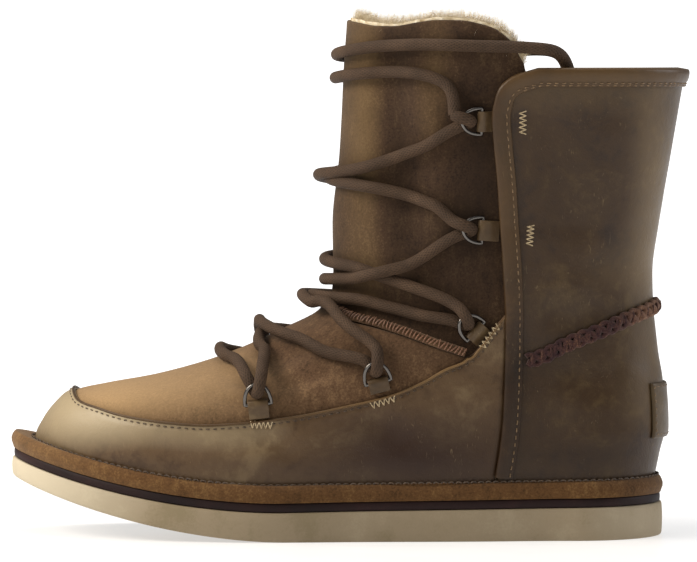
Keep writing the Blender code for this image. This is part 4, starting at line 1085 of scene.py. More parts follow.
@dataclass(frozen=True)
class CurlyFleece:
    """Sheared fleece lining: cream, very soft, lit through at its edge and dark only between its curls, where the
    darkness is painted shade.
    """

    name: str
    dark: str
    base: str
    light: str

    def make(self) -> bpy.types.Material:
        """Builds the material."""
        made, tree, shader = new_material(self.name)
        place = add_node(tree, "ShaderNodeTexCoord").outputs["Object"]
        curls = add_node(
            tree, "ShaderNodeTexVoronoi", {"Vector": place, "Scale": 1000.0 / 2.6}, feature="SMOOTH_F1"
        ).outputs["Distance"]
        strands = patterned(tree, place, 0.7, 3.0, 0.7, 1.5)
        # Colour darkens in the hollows between the raised curls: painted shade.
        spread = mathed(tree, "ADD", mathed(tree, "MULTIPLY", curls, -0.6), mathed(tree, "MULTIPLY", strands, 0.8))
        colour = ramp(tree, mathed(tree, "ADD", spread, 0.4), [(0.30, self.dark), (0.52, self.base), (0.75, self.light)])
        tree.links.new(colour, shader.inputs["Base Color"])
        shader.inputs["Roughness"].default_value = 0.95
        shader.inputs["Specular IOR Level"].default_value = 0.1
        shader.inputs["Sheen Weight"].default_value = 0.5
        shader.inputs["Sheen Roughness"].default_value = 0.6
        shader.inputs["Sheen Tint"].default_value = linear(self.light)
        bumped(tree, shader, [(mathed(tree, "SUBTRACT", 1.0, curls), 0.8), (strands, 0.4)])
        return made


@dataclass(frozen=True)
class PlatedWire:
    """Steel wire with a gunmetal plating: dark mirror with bright streaks, slightly brushed by handling."""

    name: str
    base: str
    roughness: float = 0.22

    def make(self) -> bpy.types.Material:
        """Builds the material."""
        made, tree, shader = new_material(self.name)
        place = add_node(tree, "ShaderNodeTexCoord").outputs["Object"]
        rubbed = patterned(tree, place, 1.4, 3.0, 0.6)
        shader.inputs["Base Color"].default_value = linear(self.base)
        shader.inputs["Metallic"].default_value = 1.0
        gloss = mathed(tree, "ADD", mathed(tree, "MULTIPLY", rubbed, 0.18), self.roughness - 0.09)
        tree.links.new(gloss, shader.inputs["Roughness"])
        bumped(tree, shader, [(rubbed, 0.02)])
        return made


class Finish(Enum):
    """Every finish on the boot, made once and shared by the pieces that wear it."""

    # The deep and glow colours of the suede, waxed leather and rubber finishes are painted shade and painted light,
    # laid on by each piece's tone.
    FOAM = MouldedRubber("moulded_foam_rubber", "#82745a", "#908169", "#9d8f76", "#c9bda4", "#6d604c", 0.74)
    MIDSOLE = MouldedRubber("moulded_maroon_rubber", "#140807", "#1e0d0b", "#2b1614", "#3a2422", "#0e0505", 0.60)
    WELT = BuffedSuede("welt_buffed_suede", "#432d15", "#573b1f", "#6b4f2d", "#24160a", "#836645", 0.12)
    VAMP = BuffedSuede("vamp_buffed_suede", "#3f2c1b", "#543d29", "#6b5239", "#2b1e13", "#9d805a", 0.14)
    TONGUE = BuffedSuede("tongue_buffed_suede", "#2b1e14", "#3b2a1c", "#4d3b28", "#180f09", "#6b5536", 0.10)
    MUDGUARD = WaxedLeather("mudguard_waxed_leather", "#443220", "#57432d", "#6d5a40", "#2a180d", "#9a8a6d")
    QUARTER = WaxedLeather("quarter_waxed_leather", "#2b1d11", "#392816", "#4b3a22", "#20140a", "#796547")
    BINDING = WaxedLeather("binding_waxed_leather", "#24180c", "#302010", "#43301a", "#190f07", "#755a37")
    PATCH = WaxedLeather("patch_waxed_leather", "#2d2013", "#3a2b1a", "#4e3e27", "#21160c", "#7d6a4b")
    TABS = WaxedLeather("tab_waxed_leather", "#3a2c1c", "#4c3b27", "#625037", "#251a10", "#8a7554")
    BRAID = BuffedSuede("braid_plaited_leather", "#26161a", "#3a2422", "#644632", "#190e10", "#8e6a4f", 0.10, 0.6)
    LACE = BraidedCord("lace_braided_cord", "#271c12", "#3b2b1d", "#574230")
    PALE_THREAD = SpunThread("pale_spun_thread", "#8b7757", "#b5a17e")
    TAN_THREAD = SpunThread("tan_spun_thread", "#56422a", "#7b6140")
    BROWN_THREAD = SpunThread("brown_spun_thread", "#261b12", "#57432d")
    RUST_THREAD = SpunThread("rust_spun_thread", "#553824", "#805a42")
    FLEECE = CurlyFleece("curly_cream_fleece", "#a38c68", "#d6c5a3", "#efe4cd")
    WIRE = PlatedWire("gunmetal_plated_wire", "#5e5a56")

    def material(self) -> bpy.types.Material:
        """The finish's material, made the first time it is asked for."""
        return bpy.data.materials.get(self.value.name) or self.value.make()


@dataclass(frozen=True)
class PaintedLightAndStain:
    """A paler (positive) or darker (negative) area placed on the boot's side, in millimetres: painted light and painted
    shade, on the mudguard together with the wax's own clouding.
    """

    x: float
    z: float
    reach_x: float
    reach_z: float
    strength: float

    def at(self, x: np.ndarray, z: np.ndarray) -> np.ndarray:
        """Strength there."""
        return self.strength * np.exp(-(((x - self.x) / self.reach_x) ** 2) - ((z - self.z) / self.reach_z) ** 2)


def painted_light_and_stain_tone(points: np.ndarray, light_and_stain_spots: tuple) -> np.ndarray:
    """Tone of points in the row's frame, from listed areas of painted light and painted shade, on the mudguard partly
    the wax's clouding.
    """
    x, z = (points[:, 0] - SHIFT[0]) / MM, points[:, 2] / MM
    return sum((stain.at(x, z) for stain in light_and_stain_spots), np.zeros(len(points)))


def add_piece(
    name: str,
    points: np.ndarray,
    faces: list | np.ndarray,
    finish: Finish,
    nodes: tuple = (),
    tone: np.ndarray | None = None,
    sharp: float = 50.0,
) -> bpy.types.Object:
    """Makes a visible piece of the boot, rides it on the body and hides the CAD nodes it stands for.

    Args:
        name: name of the piece.
        points: corners in the row's frame.
        faces: lists of corners.
        finish: what it is made of.
        nodes: CAD nodes that it replaces.
        tone: paler or darker share of each point, which paints light and shade into its colour (on the mudguard partly
            the wax's own clouding).
        sharp: angle in degrees above which an edge stays sharp.

    Returns:
        The new object.
    """
    mesh = bpy.data.meshes.new(name)
    mesh.from_pydata(np.asarray(points).tolist(), [], [tuple(int(c) for c in face) for face in faces])
    mesh.validate()
    work = bmesh.new()
    work.from_mesh(mesh)
    bmesh.ops.recalc_face_normals(work, faces=work.faces)
    if work.calc_volume(signed=True) < 0:
        bmesh.ops.reverse_faces(work, faces=work.faces)
    work.to_mesh(mesh)
    work.free()
    mesh.shade_smooth()
    mesh.set_sharp_from_angle(angle=math.radians(sharp))
    values = mesh.attributes.new("tone", "FLOAT", "POINT")
    values.data.foreach_set("value", (np.zeros(len(points)) if tone is None else tone).astype(np.float32))
    mesh.materials.append(finish.material())
    piece = bpy.data.objects.new(name, mesh)
    bpy.context.scene.collection.objects.link(piece)
    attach(piece, ROOT)
    if nodes:
        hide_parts(*nodes)
    LOG.info("%s: %d faces", name, len(mesh.polygons))
    return piece


def ladder(rows: int, columns: int, closed: bool = False, first: int = 0) -> np.ndarray:
    """Quads of a grid of points, joined round if closed, counted from first."""
    across = columns if closed else columns - 1
    row, column = np.meshgrid(np.arange(rows - 1), np.arange(across), indexing="ij")
    after = (column + 1) % columns
    corners = [row * columns + column, row * columns + after, (row + 1) * columns + after, (row + 1) * columns + column]
    return first + np.stack(corners, axis=-1).reshape(-1, 4)


def shell(outer: np.ndarray, inner: np.ndarray, closed: bool = False) -> tuple[np.ndarray, np.ndarray]:
    """Closed body between two grids of points of the same shape.

    Args:
        outer: rows x columns x 3.
        inner: the same.
        closed: whether the last column joins the first.

    Returns:
        Points and quads.
    """
    rows, columns = outer.shape[:2]
    count = rows * columns
    faces = [ladder(rows, columns, closed), ladder(rows, columns, closed, count)[:, ::-1]]
    index = np.arange(count).reshape(rows, columns)
    edges = [index[0], index[-1][::-1]]
    if closed:
        edges = [np.append(index[0], index[0, 0]), np.append(index[-1], index[-1, 0])[::-1]]
    else:
        edges += [index[:, -1], index[:, 0][::-1]]
    for edge in edges:
        start, end = edge[:-1], edge[1:]
        faces.append(np.stack([start, start + count, end + count, end], axis=-1))
    points = np.concatenate([outer.reshape(-1, 3), inner.reshape(-1, 3)])
    return points, np.concatenate(faces)


def lofted(sections: np.ndarray, closed: bool = False) -> tuple[np.ndarray, list]:
    """Closed body through sections (steps x corners x 3), capped at its ends unless it closes on itself."""
    steps, corners = sections.shape[:2]
    faces = ladder(steps, corners, True).tolist()
    last = (steps - 1) * corners
    if closed:
        faces += [(last + c, last + (c + 1) % corners, (c + 1) % corners, c) for c in range(corners)]
    else:
        faces.append(tuple(reversed(range(corners))))
        faces.append(tuple(last + c for c in range(corners)))
    return sections.reshape(-1, 3), faces


def spaced(turn: np.ndarray, rise: np.ndarray, step: float) -> tuple[np.ndarray, np.ndarray, np.ndarray]:
    """The same line on the last with points about step apart, and the distance along it."""
    along = arc_length(LAST.point(turn, rise))
    at = np.linspace(0.0, along[-1], max(2, round(along[-1] / step)) + 1)
    return np.interp(at, along, turn), np.interp(at, along, rise), at


def shift_on_last(turn: np.ndarray, rise: np.ndarray, direction: np.ndarray) -> np.ndarray:
    """Change of turn and rise for each metre along a direction that lies on the last."""
    around = (LAST.point(turn + 0.002, rise) - LAST.point(turn - 0.002, rise)) / 0.004
    upward = (LAST.point(turn, rise + 0.0002) - LAST.point(turn, rise - 0.0002)) / 0.0004
    basis = np.stack([around, upward], axis=-1)
    return (np.linalg.pinv(basis) @ direction[..., None])[..., 0]


def beside(turn: np.ndarray, rise: np.ndarray, across: np.ndarray) -> tuple[np.ndarray, np.ndarray]:
    """Turn and rise of points a distance to the right of a line, seen from outside.

    Args:
        turn: turns of the line.
        rise: rises of the line.
        across: rows of distances, one for each point of the line, or one number.

    Returns:
        Turns and rises, with the line's points along the first axis.
    """
    centre = LAST.point(turn, rise)
    along = unit(np.gradient(centre, axis=0))
    right = unit(np.cross(along, LAST.normal(turn, rise)))
    change = shift_on_last(turn, rise, right)
    across = np.asarray(across, float)
    if across.ndim < 2:
        across = np.broadcast_to(across, (len(turn),))
        return turn + change[:, 0] * across, rise + change[:, 1] * across
    return turn[:, None] + change[:, :1] * across, rise[:, None] + change[:, 1:] * across


@dataclass(frozen=True)
class Seam:
    """A row of stitches: their length, the gap between two, thread thickness and slant to the seam."""

    length: float = 0.0022
    gap: float = 0.0010
    thread: float = 0.00055
    slant: float = 0.0
    jitter: float = 0.10

    def sew(
        self, name: str, turn: np.ndarray, rise: np.ndarray, offset: float, finish: Finish
    ) -> bpy.types.Object:
        """Sews a line on the last.

        Args:
            name: name of the piece.
            turn: turns of the line.
            rise: rises of the line.
            offset: how far off the last the leather's face lies.
            finish: the thread.

        Returns:
            One object that holds all the stitches.
        """
        along = arc_length(LAST.point(turn, rise))
        pitch = self.length * abs(math.cos(self.slant)) + self.gap
        count = max(2, int(along[-1] / pitch))
        at = (np.arange(count) + 0.5) * along[-1] / count
        turn_at, rise_at = np.interp(at, along, turn), np.interp(at, along, rise)
        ahead = LAST.settle(np.interp(at + 0.0006, along, turn), np.interp(at + 0.0006, along, rise), offset)
        behind = LAST.settle(np.interp(at - 0.0006, along, turn), np.interp(at - 0.0006, along, rise), offset)
        centre = LAST.settle(turn_at, rise_at, offset)
        normal = LAST.normal(turn_at, rise_at)
        way = unit(ahead - behind)
        side = unit(np.cross(normal, way))
        draw = np.random.default_rng(len(name) * 97 + count)
        slant = self.slant + draw.normal(0.0, self.jitter, count)
        way = way * np.cos(slant)[:, None] + side * np.sin(slant)[:, None]
        side = np.cross(normal, way)
        rings, corners = 6, 6
        u = np.linspace(-1.0, 1.0, rings)
        angles = np.linspace(0.0, 2 * math.pi, corners, endpoint=False)
        girth = 0.5 * self.thread * np.sqrt(1.0 - 0.75 * u**4)
        lift = 0.22 * self.thread - 0.75 * self.thread * u**4
        size = self.length * (1 + draw.normal(0.0, 0.05, count))
        spots = (
            centre[:, None, None]
            + way[:, None, None] * (0.5 * u[None, :, None, None] * size[:, None, None, None])
            + side[:, None, None] * (girth[:, None] * np.cos(angles))[None, :, :, None]
            + normal[:, None, None] * (lift[:, None] + girth[:, None] * np.sin(angles))[None, :, :, None]
        )
        faces = []
        for stitch in range(count):
            first = stitch * rings * corners
            faces += ladder(rings, corners, True, first).tolist()
            faces.append(tuple(first + c for c in reversed(range(corners))))
            last = first + (rings - 1) * corners
            faces.append(tuple(last + c for c in range(corners)))
        return add_piece(name, spots.reshape(-1, 3), faces, finish)


def swept_round(path: np.ndarray, radius: np.ndarray | float, sides: int, closed: bool = False) -> np.ndarray:
    """Round sections along a path, turned with it without twisting.

    Args:
        path: points of the middle line.
        radius: one number or one for each point.
        sides: corners of each section.
        closed: whether the path joins its own start.

    Returns:
        Sections, steps x sides x 3.
    """
    if closed:
        along = unit(np.roll(path, -1, axis=0) - np.roll(path, 1, axis=0))
    else:
        along = unit(np.gradient(path, axis=0))
    side_way = unit(np.cross(along[0], [0.31, 0.17, 0.93]))
    angles = np.linspace(0.0, 2 * math.pi, sides, endpoint=False)
    radius = np.broadcast_to(radius, (len(path),))
    sections = []
    for point, way, size in zip(path, along, radius):
        side_way = unit(side_way - way * (side_way @ way))
        up_way = np.cross(way, side_way)
        sections.append(point + size * (np.outer(np.cos(angles), side_way) + np.outer(np.sin(angles), up_way)))
    return np.array(sections)


def rim_share(distance: np.ndarray, radius: float) -> np.ndarray:
    """How much of its thickness a turned edge keeps: 0 at the rim, 1 once radius away."""
    t = np.clip(distance / radius, 0.0, 1.0)
    return np.sqrt(np.maximum(1.0 - (1.0 - t) ** 2, 0.0))


def rows_between(bottom: np.ndarray, top: np.ndarray, count: int, close: float = 0.004) -> np.ndarray:
    """Rises of rows between two edges, with more of them near both edges.

    Args:
        bottom: rise of each column's lower end.
        top: rise of each column's upper end.
        count: rows in the middle.
        close: width near each edge that gets fine rows.

    Returns:
        Rows x columns of rises.
    """
    fine = np.array([0.0, 0.06, 0.16, 0.32, 0.55, 0.8])
    height = float(np.mean(top - bottom))
    edge = min(close / height, 0.3)
    shares = np.concatenate([fine * edge, np.linspace(edge, 1 - edge, count), 1 - fine[::-1] * edge])
    return bottom + (top - bottom) * shares[:, None]


@dataclass
class Sole:
    """Outsole, midsole, stitched welt roll and footbed."""

    steps: int = 220
    edge: float = 0.0012
    inset: float = 0.0008
    tread_depth: float = 0.0007
    bulge: float = 0.0006
    insole: float = 0.0050

    def loops(self, rows: list) -> np.ndarray:
        """Loops round the sole from rows of (inset, height function)."""
        turn = np.linspace(0.0, 2 * math.pi, self.steps, endpoint=False)
        return np.array([LAST.outline(turn, inset, height) for inset, height in rows])

    def slab(self, loops: np.ndarray) -> tuple[np.ndarray, list]:
        """Body through stacked loops, closed underneath and on top by strips from side to side."""
        rows, count = loops.shape[:2]
        faces = ladder(rows, count, True).tolist()
        last = (rows - 1) * count
        for step in range(count // 2):
            left, right = step, (count - step) % count
            next_left, next_right = step + 1, count - step - 1
            faces.append((left, right, next_right, next_left))
            faces.append((last + left, last + next_left, last + next_right, last + right))
        clean = [tuple(dict.fromkeys(face)) for face in faces]
        return loops.reshape(-1, 3), [face for face in clean if len(face) > 2]

    def build_outsole(self) -> None:
        """Foam rubber slab with rounded edges and a fine moulded line near its top."""
        top = LAST.outsole_top
        rows = [
            (2.6 * self.edge, LAST.sole_lift),
            (self.edge, LAST.sole_lift),
            (0.45 * self.edge, lambda x: LAST.sole_lift(x) + 0.15 * self.edge),
            (0.12 * self.edge, lambda x: LAST.sole_lift(x) + 0.5 * self.edge),
            (0.0, lambda x: LAST.sole_lift(x) + self.edge),
        ]
        for share in (0.2, 0.35, 0.5, 0.65, 0.8):
            swell = -0.25 * MM * math.sin(math.pi * share)
            rows.append(
                (swell, lambda x, share=share: LAST.sole_lift(x) + share * (top(x) - LAST.sole_lift(x)))
            )
        rows += [
            (0.0, lambda x: top(x) - 0.9 * self.edge),
            (0.15 * self.edge, lambda x: top(x) - 0.3 * self.edge),
            (0.5 * self.edge, top),
            (2.6 * self.edge, top),
        ]
        loops = self.loops(rows)
        points, faces = self.slab(loops)
        # Painted light at the toe and heel ends that face the lamps, painted shade low along the middle near the floor.
        tone = painted_light_and_stain_tone(
            points,
            (PaintedLightAndStain(6, 30, 46, 40, 0.75), PaintedLightAndStain(150, 6, 90, 20, -0.30), PaintedLightAndStain(262, 8, 26, 12, 0.25)),
        )
        add_piece("outsole_foam", points, faces, Finish.FOAM, ("outsole",), tone)

    def build_midsole(self) -> None:
        """Thin dark rubber band over the outsole."""
        low = lambda x: LAST.outsole_top(x) + LAST.gap
        rows = [
            (self.inset + 0.8 * MM, low),
            (self.inset + 0.15 * MM, low),
            (self.inset, lambda x: low(x) + 0.25 * MM),
            (self.inset - 0.12 * MM, lambda x: low(x) + 0.5 * LAST.midsole),
            (self.inset, lambda x: LAST.midsole_top(x) - 0.25 * MM),
            (self.inset + 0.15 * MM, LAST.midsole_top),
            (self.inset + 0.8 * MM, LAST.midsole_top),
        ]
        points, faces = self.slab(self.loops(rows))
        add_piece("midsole_band", points, faces, Finish.MIDSOLE, ("midsole",))

    def build_welt(self) -> None:
        """Padded suede roll round the foot, pulled in where it is stitched."""
        turn = LAST.around(np.linspace(0.0, 4.0, self.steps * 2, endpoint=False), 0.0)
        foot = 3 * LAST.gap + LAST.leather
        base = lambda x: LAST.midsole_top(x) + LAST.gap
        inner_low = LAST.foot_loop(turn, foot, base)
        inner_high = LAST.foot_loop(turn, foot, lambda x: LAST.feather(x) - 0.10 * LAST.welt)
        outer_low = LAST.outline(turn, 0.35 * self.edge, base)
        sections = [inner_low, inner_high]
        crown = 0.72 * inner_high + 0.28 * LAST.outline(turn, 0.3 * self.edge, LAST.feather)
        crown[:, 2] = LAST.feather(crown[:, 0] - SHIFT[0]) - 0.02 * LAST.welt
        sections.append(crown)
        for share, inset in ((0.02, 1.10), (0.14, 0.45), (0.30, -0.05), (0.48, -0.42), (0.66, -0.38), (0.84, 0.0)):
            height = lambda x, share=share: LAST.feather(x) - share * LAST.welt
            sections.append(LAST.outline(turn, inset * self.edge, height))
        sections.append(outer_low)
        points, faces = lofted(np.array(sections), True)
        # Painted light at the toe that faces the toe lamp, painted shade along the middle and at the heel.
        tone = painted_light_and_stain_tone(points, (PaintedLightAndStain(20, 46, 40, 14, 0.35), PaintedLightAndStain(140, 24, 60, 12, -0.15), PaintedLightAndStain(268, 26, 20, 12, -0.2)))
        add_piece("welt_roll", points, faces, Finish.WELT, ("welt",), tone)
        self.stitch_welt(turn, foot)

    def stitch_welt(self, turn: np.ndarray, foot: float) -> None:
        """Brown stitches along the roll's inner edge."""
        line = LAST.foot_loop(turn, foot + 0.9 * MM, lambda x: LAST.feather(x) + 0.05 * MM)
        along = arc_length(line)
        pitch, length, thread = 3.1 * MM, 2.3 * MM, 0.60 * MM
        count = int(along[-1] / pitch)
        sections_of = []
        for step in range(count):
            centre = (step + 0.5) * along[-1] / count
            at = centre + np.linspace(-0.5, 0.5, 5) * length
            path = np.stack([np.interp(at, along, line[:, axis]) for axis in range(3)], axis=-1)
            path[:, 2] += thread * (0.35 - 0.9 * np.linspace(-1, 1, 5) ** 4)
            sections_of.append(lofted(swept_round(path, 0.5 * thread, 6)))
        points, faces = joined(sections_of)
        add_piece("welt_stitches", points, faces, Finish.BROWN_THREAD)

    def build_footbed(self) -> None:
        """Fleece-covered insole, softly dished."""
        turn = LAST.around(np.linspace(0.0, 4.0, self.steps, endpoint=False), 0.0)
        base = lambda x: LAST.midsole_top(x) + LAST.gap
        inset = -LAST.wall - 2 * LAST.gap
        rows = [LAST.foot_loop(turn, inset, base)]
        for deep, rise in ((0.0, 0.7), (-0.0015, 0.95), (-0.006, 1.0), (-0.014, 0.93), (-0.024, 0.88)):
            loop = LAST.foot_loop(turn, inset + deep, lambda x, rise=rise: base(x) + rise * self.insole)
            loop[:, 2] += 0.0006 * lumps(loop, 3.0)
            rows.append(loop)
        points, faces = self.slab(np.array(rows))
        add_piece("footbed_fleece", points, faces, Finish.FLEECE, ("insole",))

    def build(self) -> None:
        """Builds the whole sole."""
        self.build_outsole()
        self.build_midsole()
        self.build_welt()
        self.build_footbed()


def joined(bodies: list) -> tuple[np.ndarray, list]:
    """Points and faces of several bodies as one."""
    points, faces, count = [], [], 0
    for body_points, body_faces in bodies:
        points.append(body_points)
        faces += [tuple(corner + count for corner in face) for face in body_faces]
        count += len(body_points)
    return np.concatenate(points), faces


def lumps(points: np.ndarray, size_mm: float) -> np.ndarray:
    """Soft lumps about size_mm across, from -1 to 1, at points in metres."""
    scale = 1000.0 / size_mm
    flat = np.asarray(points).reshape(-1, 3)
    found = np.array([noise.noise(Vector(point) * scale) for point in flat.tolist()])
    return 1.6 * found.reshape(np.asarray(points).shape[:-1])


@dataclass
class Panels:
    """Vamp, mudguard, quarter, heel patch and the fleece behind them."""

    step: float = 0.0018
    fleece: float = 0.0030

    def columns(self, first: float, last: float, count: int) -> np.ndarray:
        """Evenly spread columns round the upper."""
        return np.linspace(first, last, count)

    def cover(
        self,
        name: str,
        columns: np.ndarray,
        rise: np.ndarray,
        offsets: tuple[float, float],
        finish: Finish,
        nodes: tuple,
        light_and_stain_spots: tuple,
        edge: float = 0.0011,
        groove: float = 0.0,
        sides_open: bool = True,
    ) -> bpy.types.Object:
        """Lays a hide panel on the last, with rounded rims and a pressed-in stitch line.

        Args:
            name: name of the piece.
            columns: columns round the upper.
            rise: rows x columns of rises.
            offsets: its inner and outer face off the last.
            finish: the hide.
            nodes: CAD nodes it replaces.
            light_and_stain_spots: paler and darker areas, painted light and painted shade (on the mudguard partly wax
                clouding).
            edge: radius of its turned rims.
            groove: depth of the line its top stitches press in.
            sides_open: whether its first and last columns are rims.

        Returns:
            The panel.
        """
        turn = LAST.around(np.broadcast_to(columns % 4, rise.shape), rise)
        turn = np.unwrap(turn, axis=1)
        from_top, from_bottom = rise[-1] - rise, rise - rise[0]
        distance = np.minimum(from_top, from_bottom)
        if sides_open:
            points = LAST.point(turn, rise)
            steps = np.linalg.norm(np.diff(points, axis=1), axis=2)
            left = np.concatenate([np.zeros((len(rise), 1)), np.cumsum(steps, axis=1)], axis=1)
            distance = np.minimum(distance, np.minimum(left, left[:, -1:] - left))
        inner, outer = offsets
        thick = (outer - inner) * (0.25 + 0.75 * rim_share(distance, edge))
        thick = thick - groove * np.exp(-(((from_top - 0.0022) / 0.0008) ** 2))
        outside = LAST.settle(turn, rise, inner + thick)
        inside = LAST.settle(turn, rise, np.full(rise.shape, inner))
        points, faces = shell(outside, inside)
        return add_piece(name, points, faces, finish, nodes, painted_light_and_stain_tone(points, light_and_stain_spots))

    def build_vamp(self) -> None:
        """Suede vamp from under the mudguard up to the throat."""
        columns = self.columns(-1.0, 1.0, 190)
        low = LAST.mudguard_top(columns % 4) - 0.004
        top = LAST.line_rise(LAST.around, columns % 4, THROAT_LINE)
        rise = rows_between(low, np.maximum(top, low + 0.0045), 46, 0.003)
        # Painted light on the toe front facing the toe lamp and on the ridge, painted shade under the laces by the
        # rings and towards the throat.
        light_and_stain_spots = (
            PaintedLightAndStain(64, 64, 40, 14, 0.60),
            PaintedLightAndStain(40, 58, 22, 9, 0.35),
            PaintedLightAndStain(118, 84, 22, 12, -0.18),
            PaintedLightAndStain(150, 74, 30, 10, -0.12),
            PaintedLightAndStain(98, 74, 16, 10, 0.25),
            PaintedLightAndStain(180, 78, 22, 8, -0.25),
            PaintedLightAndStain(36, 58, 16, 8, 0.15),
        )
        self.cover(
            "vamp_suede", columns, rise, (-1.4 * MM, 0.0), Finish.VAMP, ("upper",), light_and_stain_spots, 0.0008
        )

    def build_mudguard(self) -> None:
        """Waxed leather guard round toe and sides, with its stitched and folded top edge."""
        columns = self.columns(-1.0 + 0.0026, 1.0 - 0.0026, 300)
        low = LAST.bottom_rise(columns % 4, LAST.gap, LAST.gap + LAST.leather)
        top = LAST.mudguard_top(columns % 4)
        rise = rows_between(low, top, 34)
        # Painted highlight at the toe and painted shade darkening towards the back, laid over the wax's own pale and
        # dark clouding.
        light_and_stain_spots = (
            PaintedLightAndStain(30, 52, 34, 16, 0.75),
            PaintedLightAndStain(50, 58, 26, 12, 0.55),
            PaintedLightAndStain(24, 40, 20, 12, 0.10),
            PaintedLightAndStain(60, 34, 60, 7, -0.30),
            PaintedLightAndStain(96, 42, 34, 14, 0.45),
            PaintedLightAndStain(130, 30, 60, 10, -0.40),
            PaintedLightAndStain(148, 46, 30, 12, -0.30),
            PaintedLightAndStain(188, 34, 44, 22, -0.72),
            PaintedLightAndStain(160, 44, 20, 12, -0.20),
            PaintedLightAndStain(196, 66, 18, 16, -0.10),
            PaintedLightAndStain(176, 60, 26, 9, 0.14),
        )
        self.cover(
            "mudguard_leather",
            columns,
            rise,
            (LAST.gap, LAST.gap + LAST.leather),
            Finish.MUDGUARD,
            ("mudguard",),
            light_and_stain_spots,
            0.0010,
            0.00025,
        )
        self.edge_mudguard()

    def edge_mudguard(self) -> None:
        """Folded lip and dark stitches along the mudguard's top edge."""
        columns = self.columns(-0.975, 0.975, 420)
        rise = LAST.mudguard_top(columns % 4)
        turn = LAST.around(columns % 4, rise)
        turn = np.where(turn > math.pi, turn - 2 * math.pi, turn)
        fine_turn, fine_rise, _ = spaced(turn, rise, 0.0012)
        lip_turn, lip_rise = beside(fine_turn, fine_rise, 0.00035)
        path = LAST.settle(lip_turn, lip_rise, np.full(lip_rise.shape, LAST.gap + 0.95 * LAST.leather))
        points, faces = lofted(swept_round(path, 0.00055, 8))
        # Painted highlight along the folded lip, strongest at the back.
        tone = painted_light_and_stain_tone(points, (PaintedLightAndStain(190, 76, 44, 24, 0.8), PaintedLightAndStain(140, 58, 34, 20, 0.4), PaintedLightAndStain(60, 56, 50, 20, 0.3)))
        add_piece("mudguard_lip", points, faces, Finish.BINDING, (), tone)
        seam = Seam(0.0019, 0.0011, 0.00050)
        sewn_turn, sewn_rise = beside(fine_turn, fine_rise, 0.0019)
        face = LAST.gap + LAST.leather - 0.00012
        seam.sew("mudguard_stitches", sewn_turn, sewn_rise, face, Finish.BROWN_THREAD)

    def build_quarter(self) -> None:
        """Waxed leather quarter round heel and shaft."""
        columns = self.columns(1.0, 3.0, 230)
        low = LAST.bottom_rise(columns, LAST.gap, LAST.gap + LAST.leather)
        rise = rows_between(low, np.full(columns.shape, LAST.collar_rise), 92)
        # Painted light along the collar and in an upright strip at the heel's back curve, painted shade in the shaft's
        # creases and low above the welt.
        light_and_stain_spots = (
            PaintedLightAndStain(232, 186, 40, 9, 0.20),
            PaintedLightAndStain(270, 130, 9, 60, 0.45),
            PaintedLightAndStain(240, 150, 26, 24, -0.12),
            PaintedLightAndStain(224, 130, 16, 40, -0.10),
            PaintedLightAndStain(258, 112, 20, 14, 0.16),
            PaintedLightAndStain(240, 96, 34, 9, -0.15),
            PaintedLightAndStain(226, 60, 20, 24, -0.22),
            PaintedLightAndStain(250, 66, 24, 18, 0.06),
            PaintedLightAndStain(246, 34, 40, 9, -0.40),
            PaintedLightAndStain(266, 54, 10, 30, 0.10),
        )
        self.cover(
            "quarter_leather",
            columns,
            rise,
            (LAST.gap, LAST.gap + LAST.leather),
            Finish.QUARTER,
            ("quarter",),
            light_and_stain_spots,
        )

    def build_patch(self) -> None:
        """Bare stitched patch low on the heel."""
        columns = self.columns(2 - 2 / 7, 2 + 2 / 7, 60)
        ends = [
            np.full(columns.shape, LAST.rise_on(np.array(LAST.sole_length), share * LAST.collar))
            for share in (0.215, 0.330)
        ]
        lies_on = 2.6 * LAST.gap + LAST.leather
        rise = rows_between(*ends, 14, 0.003)
        # Painted highlight at the heel's back curve.
        light_and_stain_spots = (PaintedLightAndStain(268, 54, 10, 20, 0.25),)
        offsets = (lies_on, lies_on + 1.0 * MM)
        self.cover("heel_patch", columns, rise, offsets, Finish.PATCH, ("heel_patch",), light_and_stain_spots)
        inset = 0.0016
        edge_columns = self.columns(columns[0] + 0.022, columns[-1] - 0.022, 40)
        low, top = ends[0][0] + inset, ends[1][0] - inset
        loop_columns = np.concatenate([edge_columns, np.full(10, edge_columns[-1]), edge_columns[::-1], np.full(10, edge_columns[0])])
        loop_rise = np.concatenate([np.full(40, low), np.linspace(low, top, 10), np.full(40, top), np.linspace(top, low, 10)])
        turn = LAST.around(loop_columns, loop_rise)
        fine_turn, fine_rise, _ = spaced(turn, loop_rise, 0.0008)
        Seam(0.0019, 0.0010, 0.00050).sew(
            "patch_stitches", fine_turn, fine_rise, offsets[1] - 0.0001, Finish.TAN_THREAD
        )

    def build_lining(self) -> None:
        """Fleece pile on the inside of the vamp and of the quarters."""
        for name, columns, top_of in (
            ("vamp_lining", self.columns(-1.02, 1.02, 130), "throat"),
            ("quarter_lining", self.columns(1.03, 2.97, 130), "collar"),
        ):
            low = LAST.bottom_rise(columns % 4, LAST.gap + 0.004, -LAST.wall)
            if top_of == "throat":
                top = LAST.line_rise(LAST.around, np.clip(columns, -1.0, 1.0) % 4, THROAT_LINE) - 0.0015
            else:
                top = np.full(columns.shape, LAST.collar_rise - 0.0004)
            rise = low + (top - low) * np.linspace(0.0, 1.0, 72)[:, None]
            turn = np.unwrap(LAST.around(np.broadcast_to(columns % 4, rise.shape), rise), axis=1)
            back = LAST.settle(turn, rise, np.full(rise.shape, -1.5 * MM))
            normal = LAST.normal(turn, rise)
            pile = self.fleece * (0.35 + 0.65 * rim_share(rise[-1] - rise, 0.004))
            pile = pile * (1 + 0.28 * lumps(back, 5.0))
            front = back - normal * pile[..., None]
            points, faces = shell(front, back)
            add_piece(name, points, faces, Finish.FLEECE)

    def build(self) -> None:
        """Builds the panels from the vamp outwards."""
        self.build_vamp()
        self.build_mudguard()
        self.build_quarter()
        self.build_patch()
        self.build_lining()


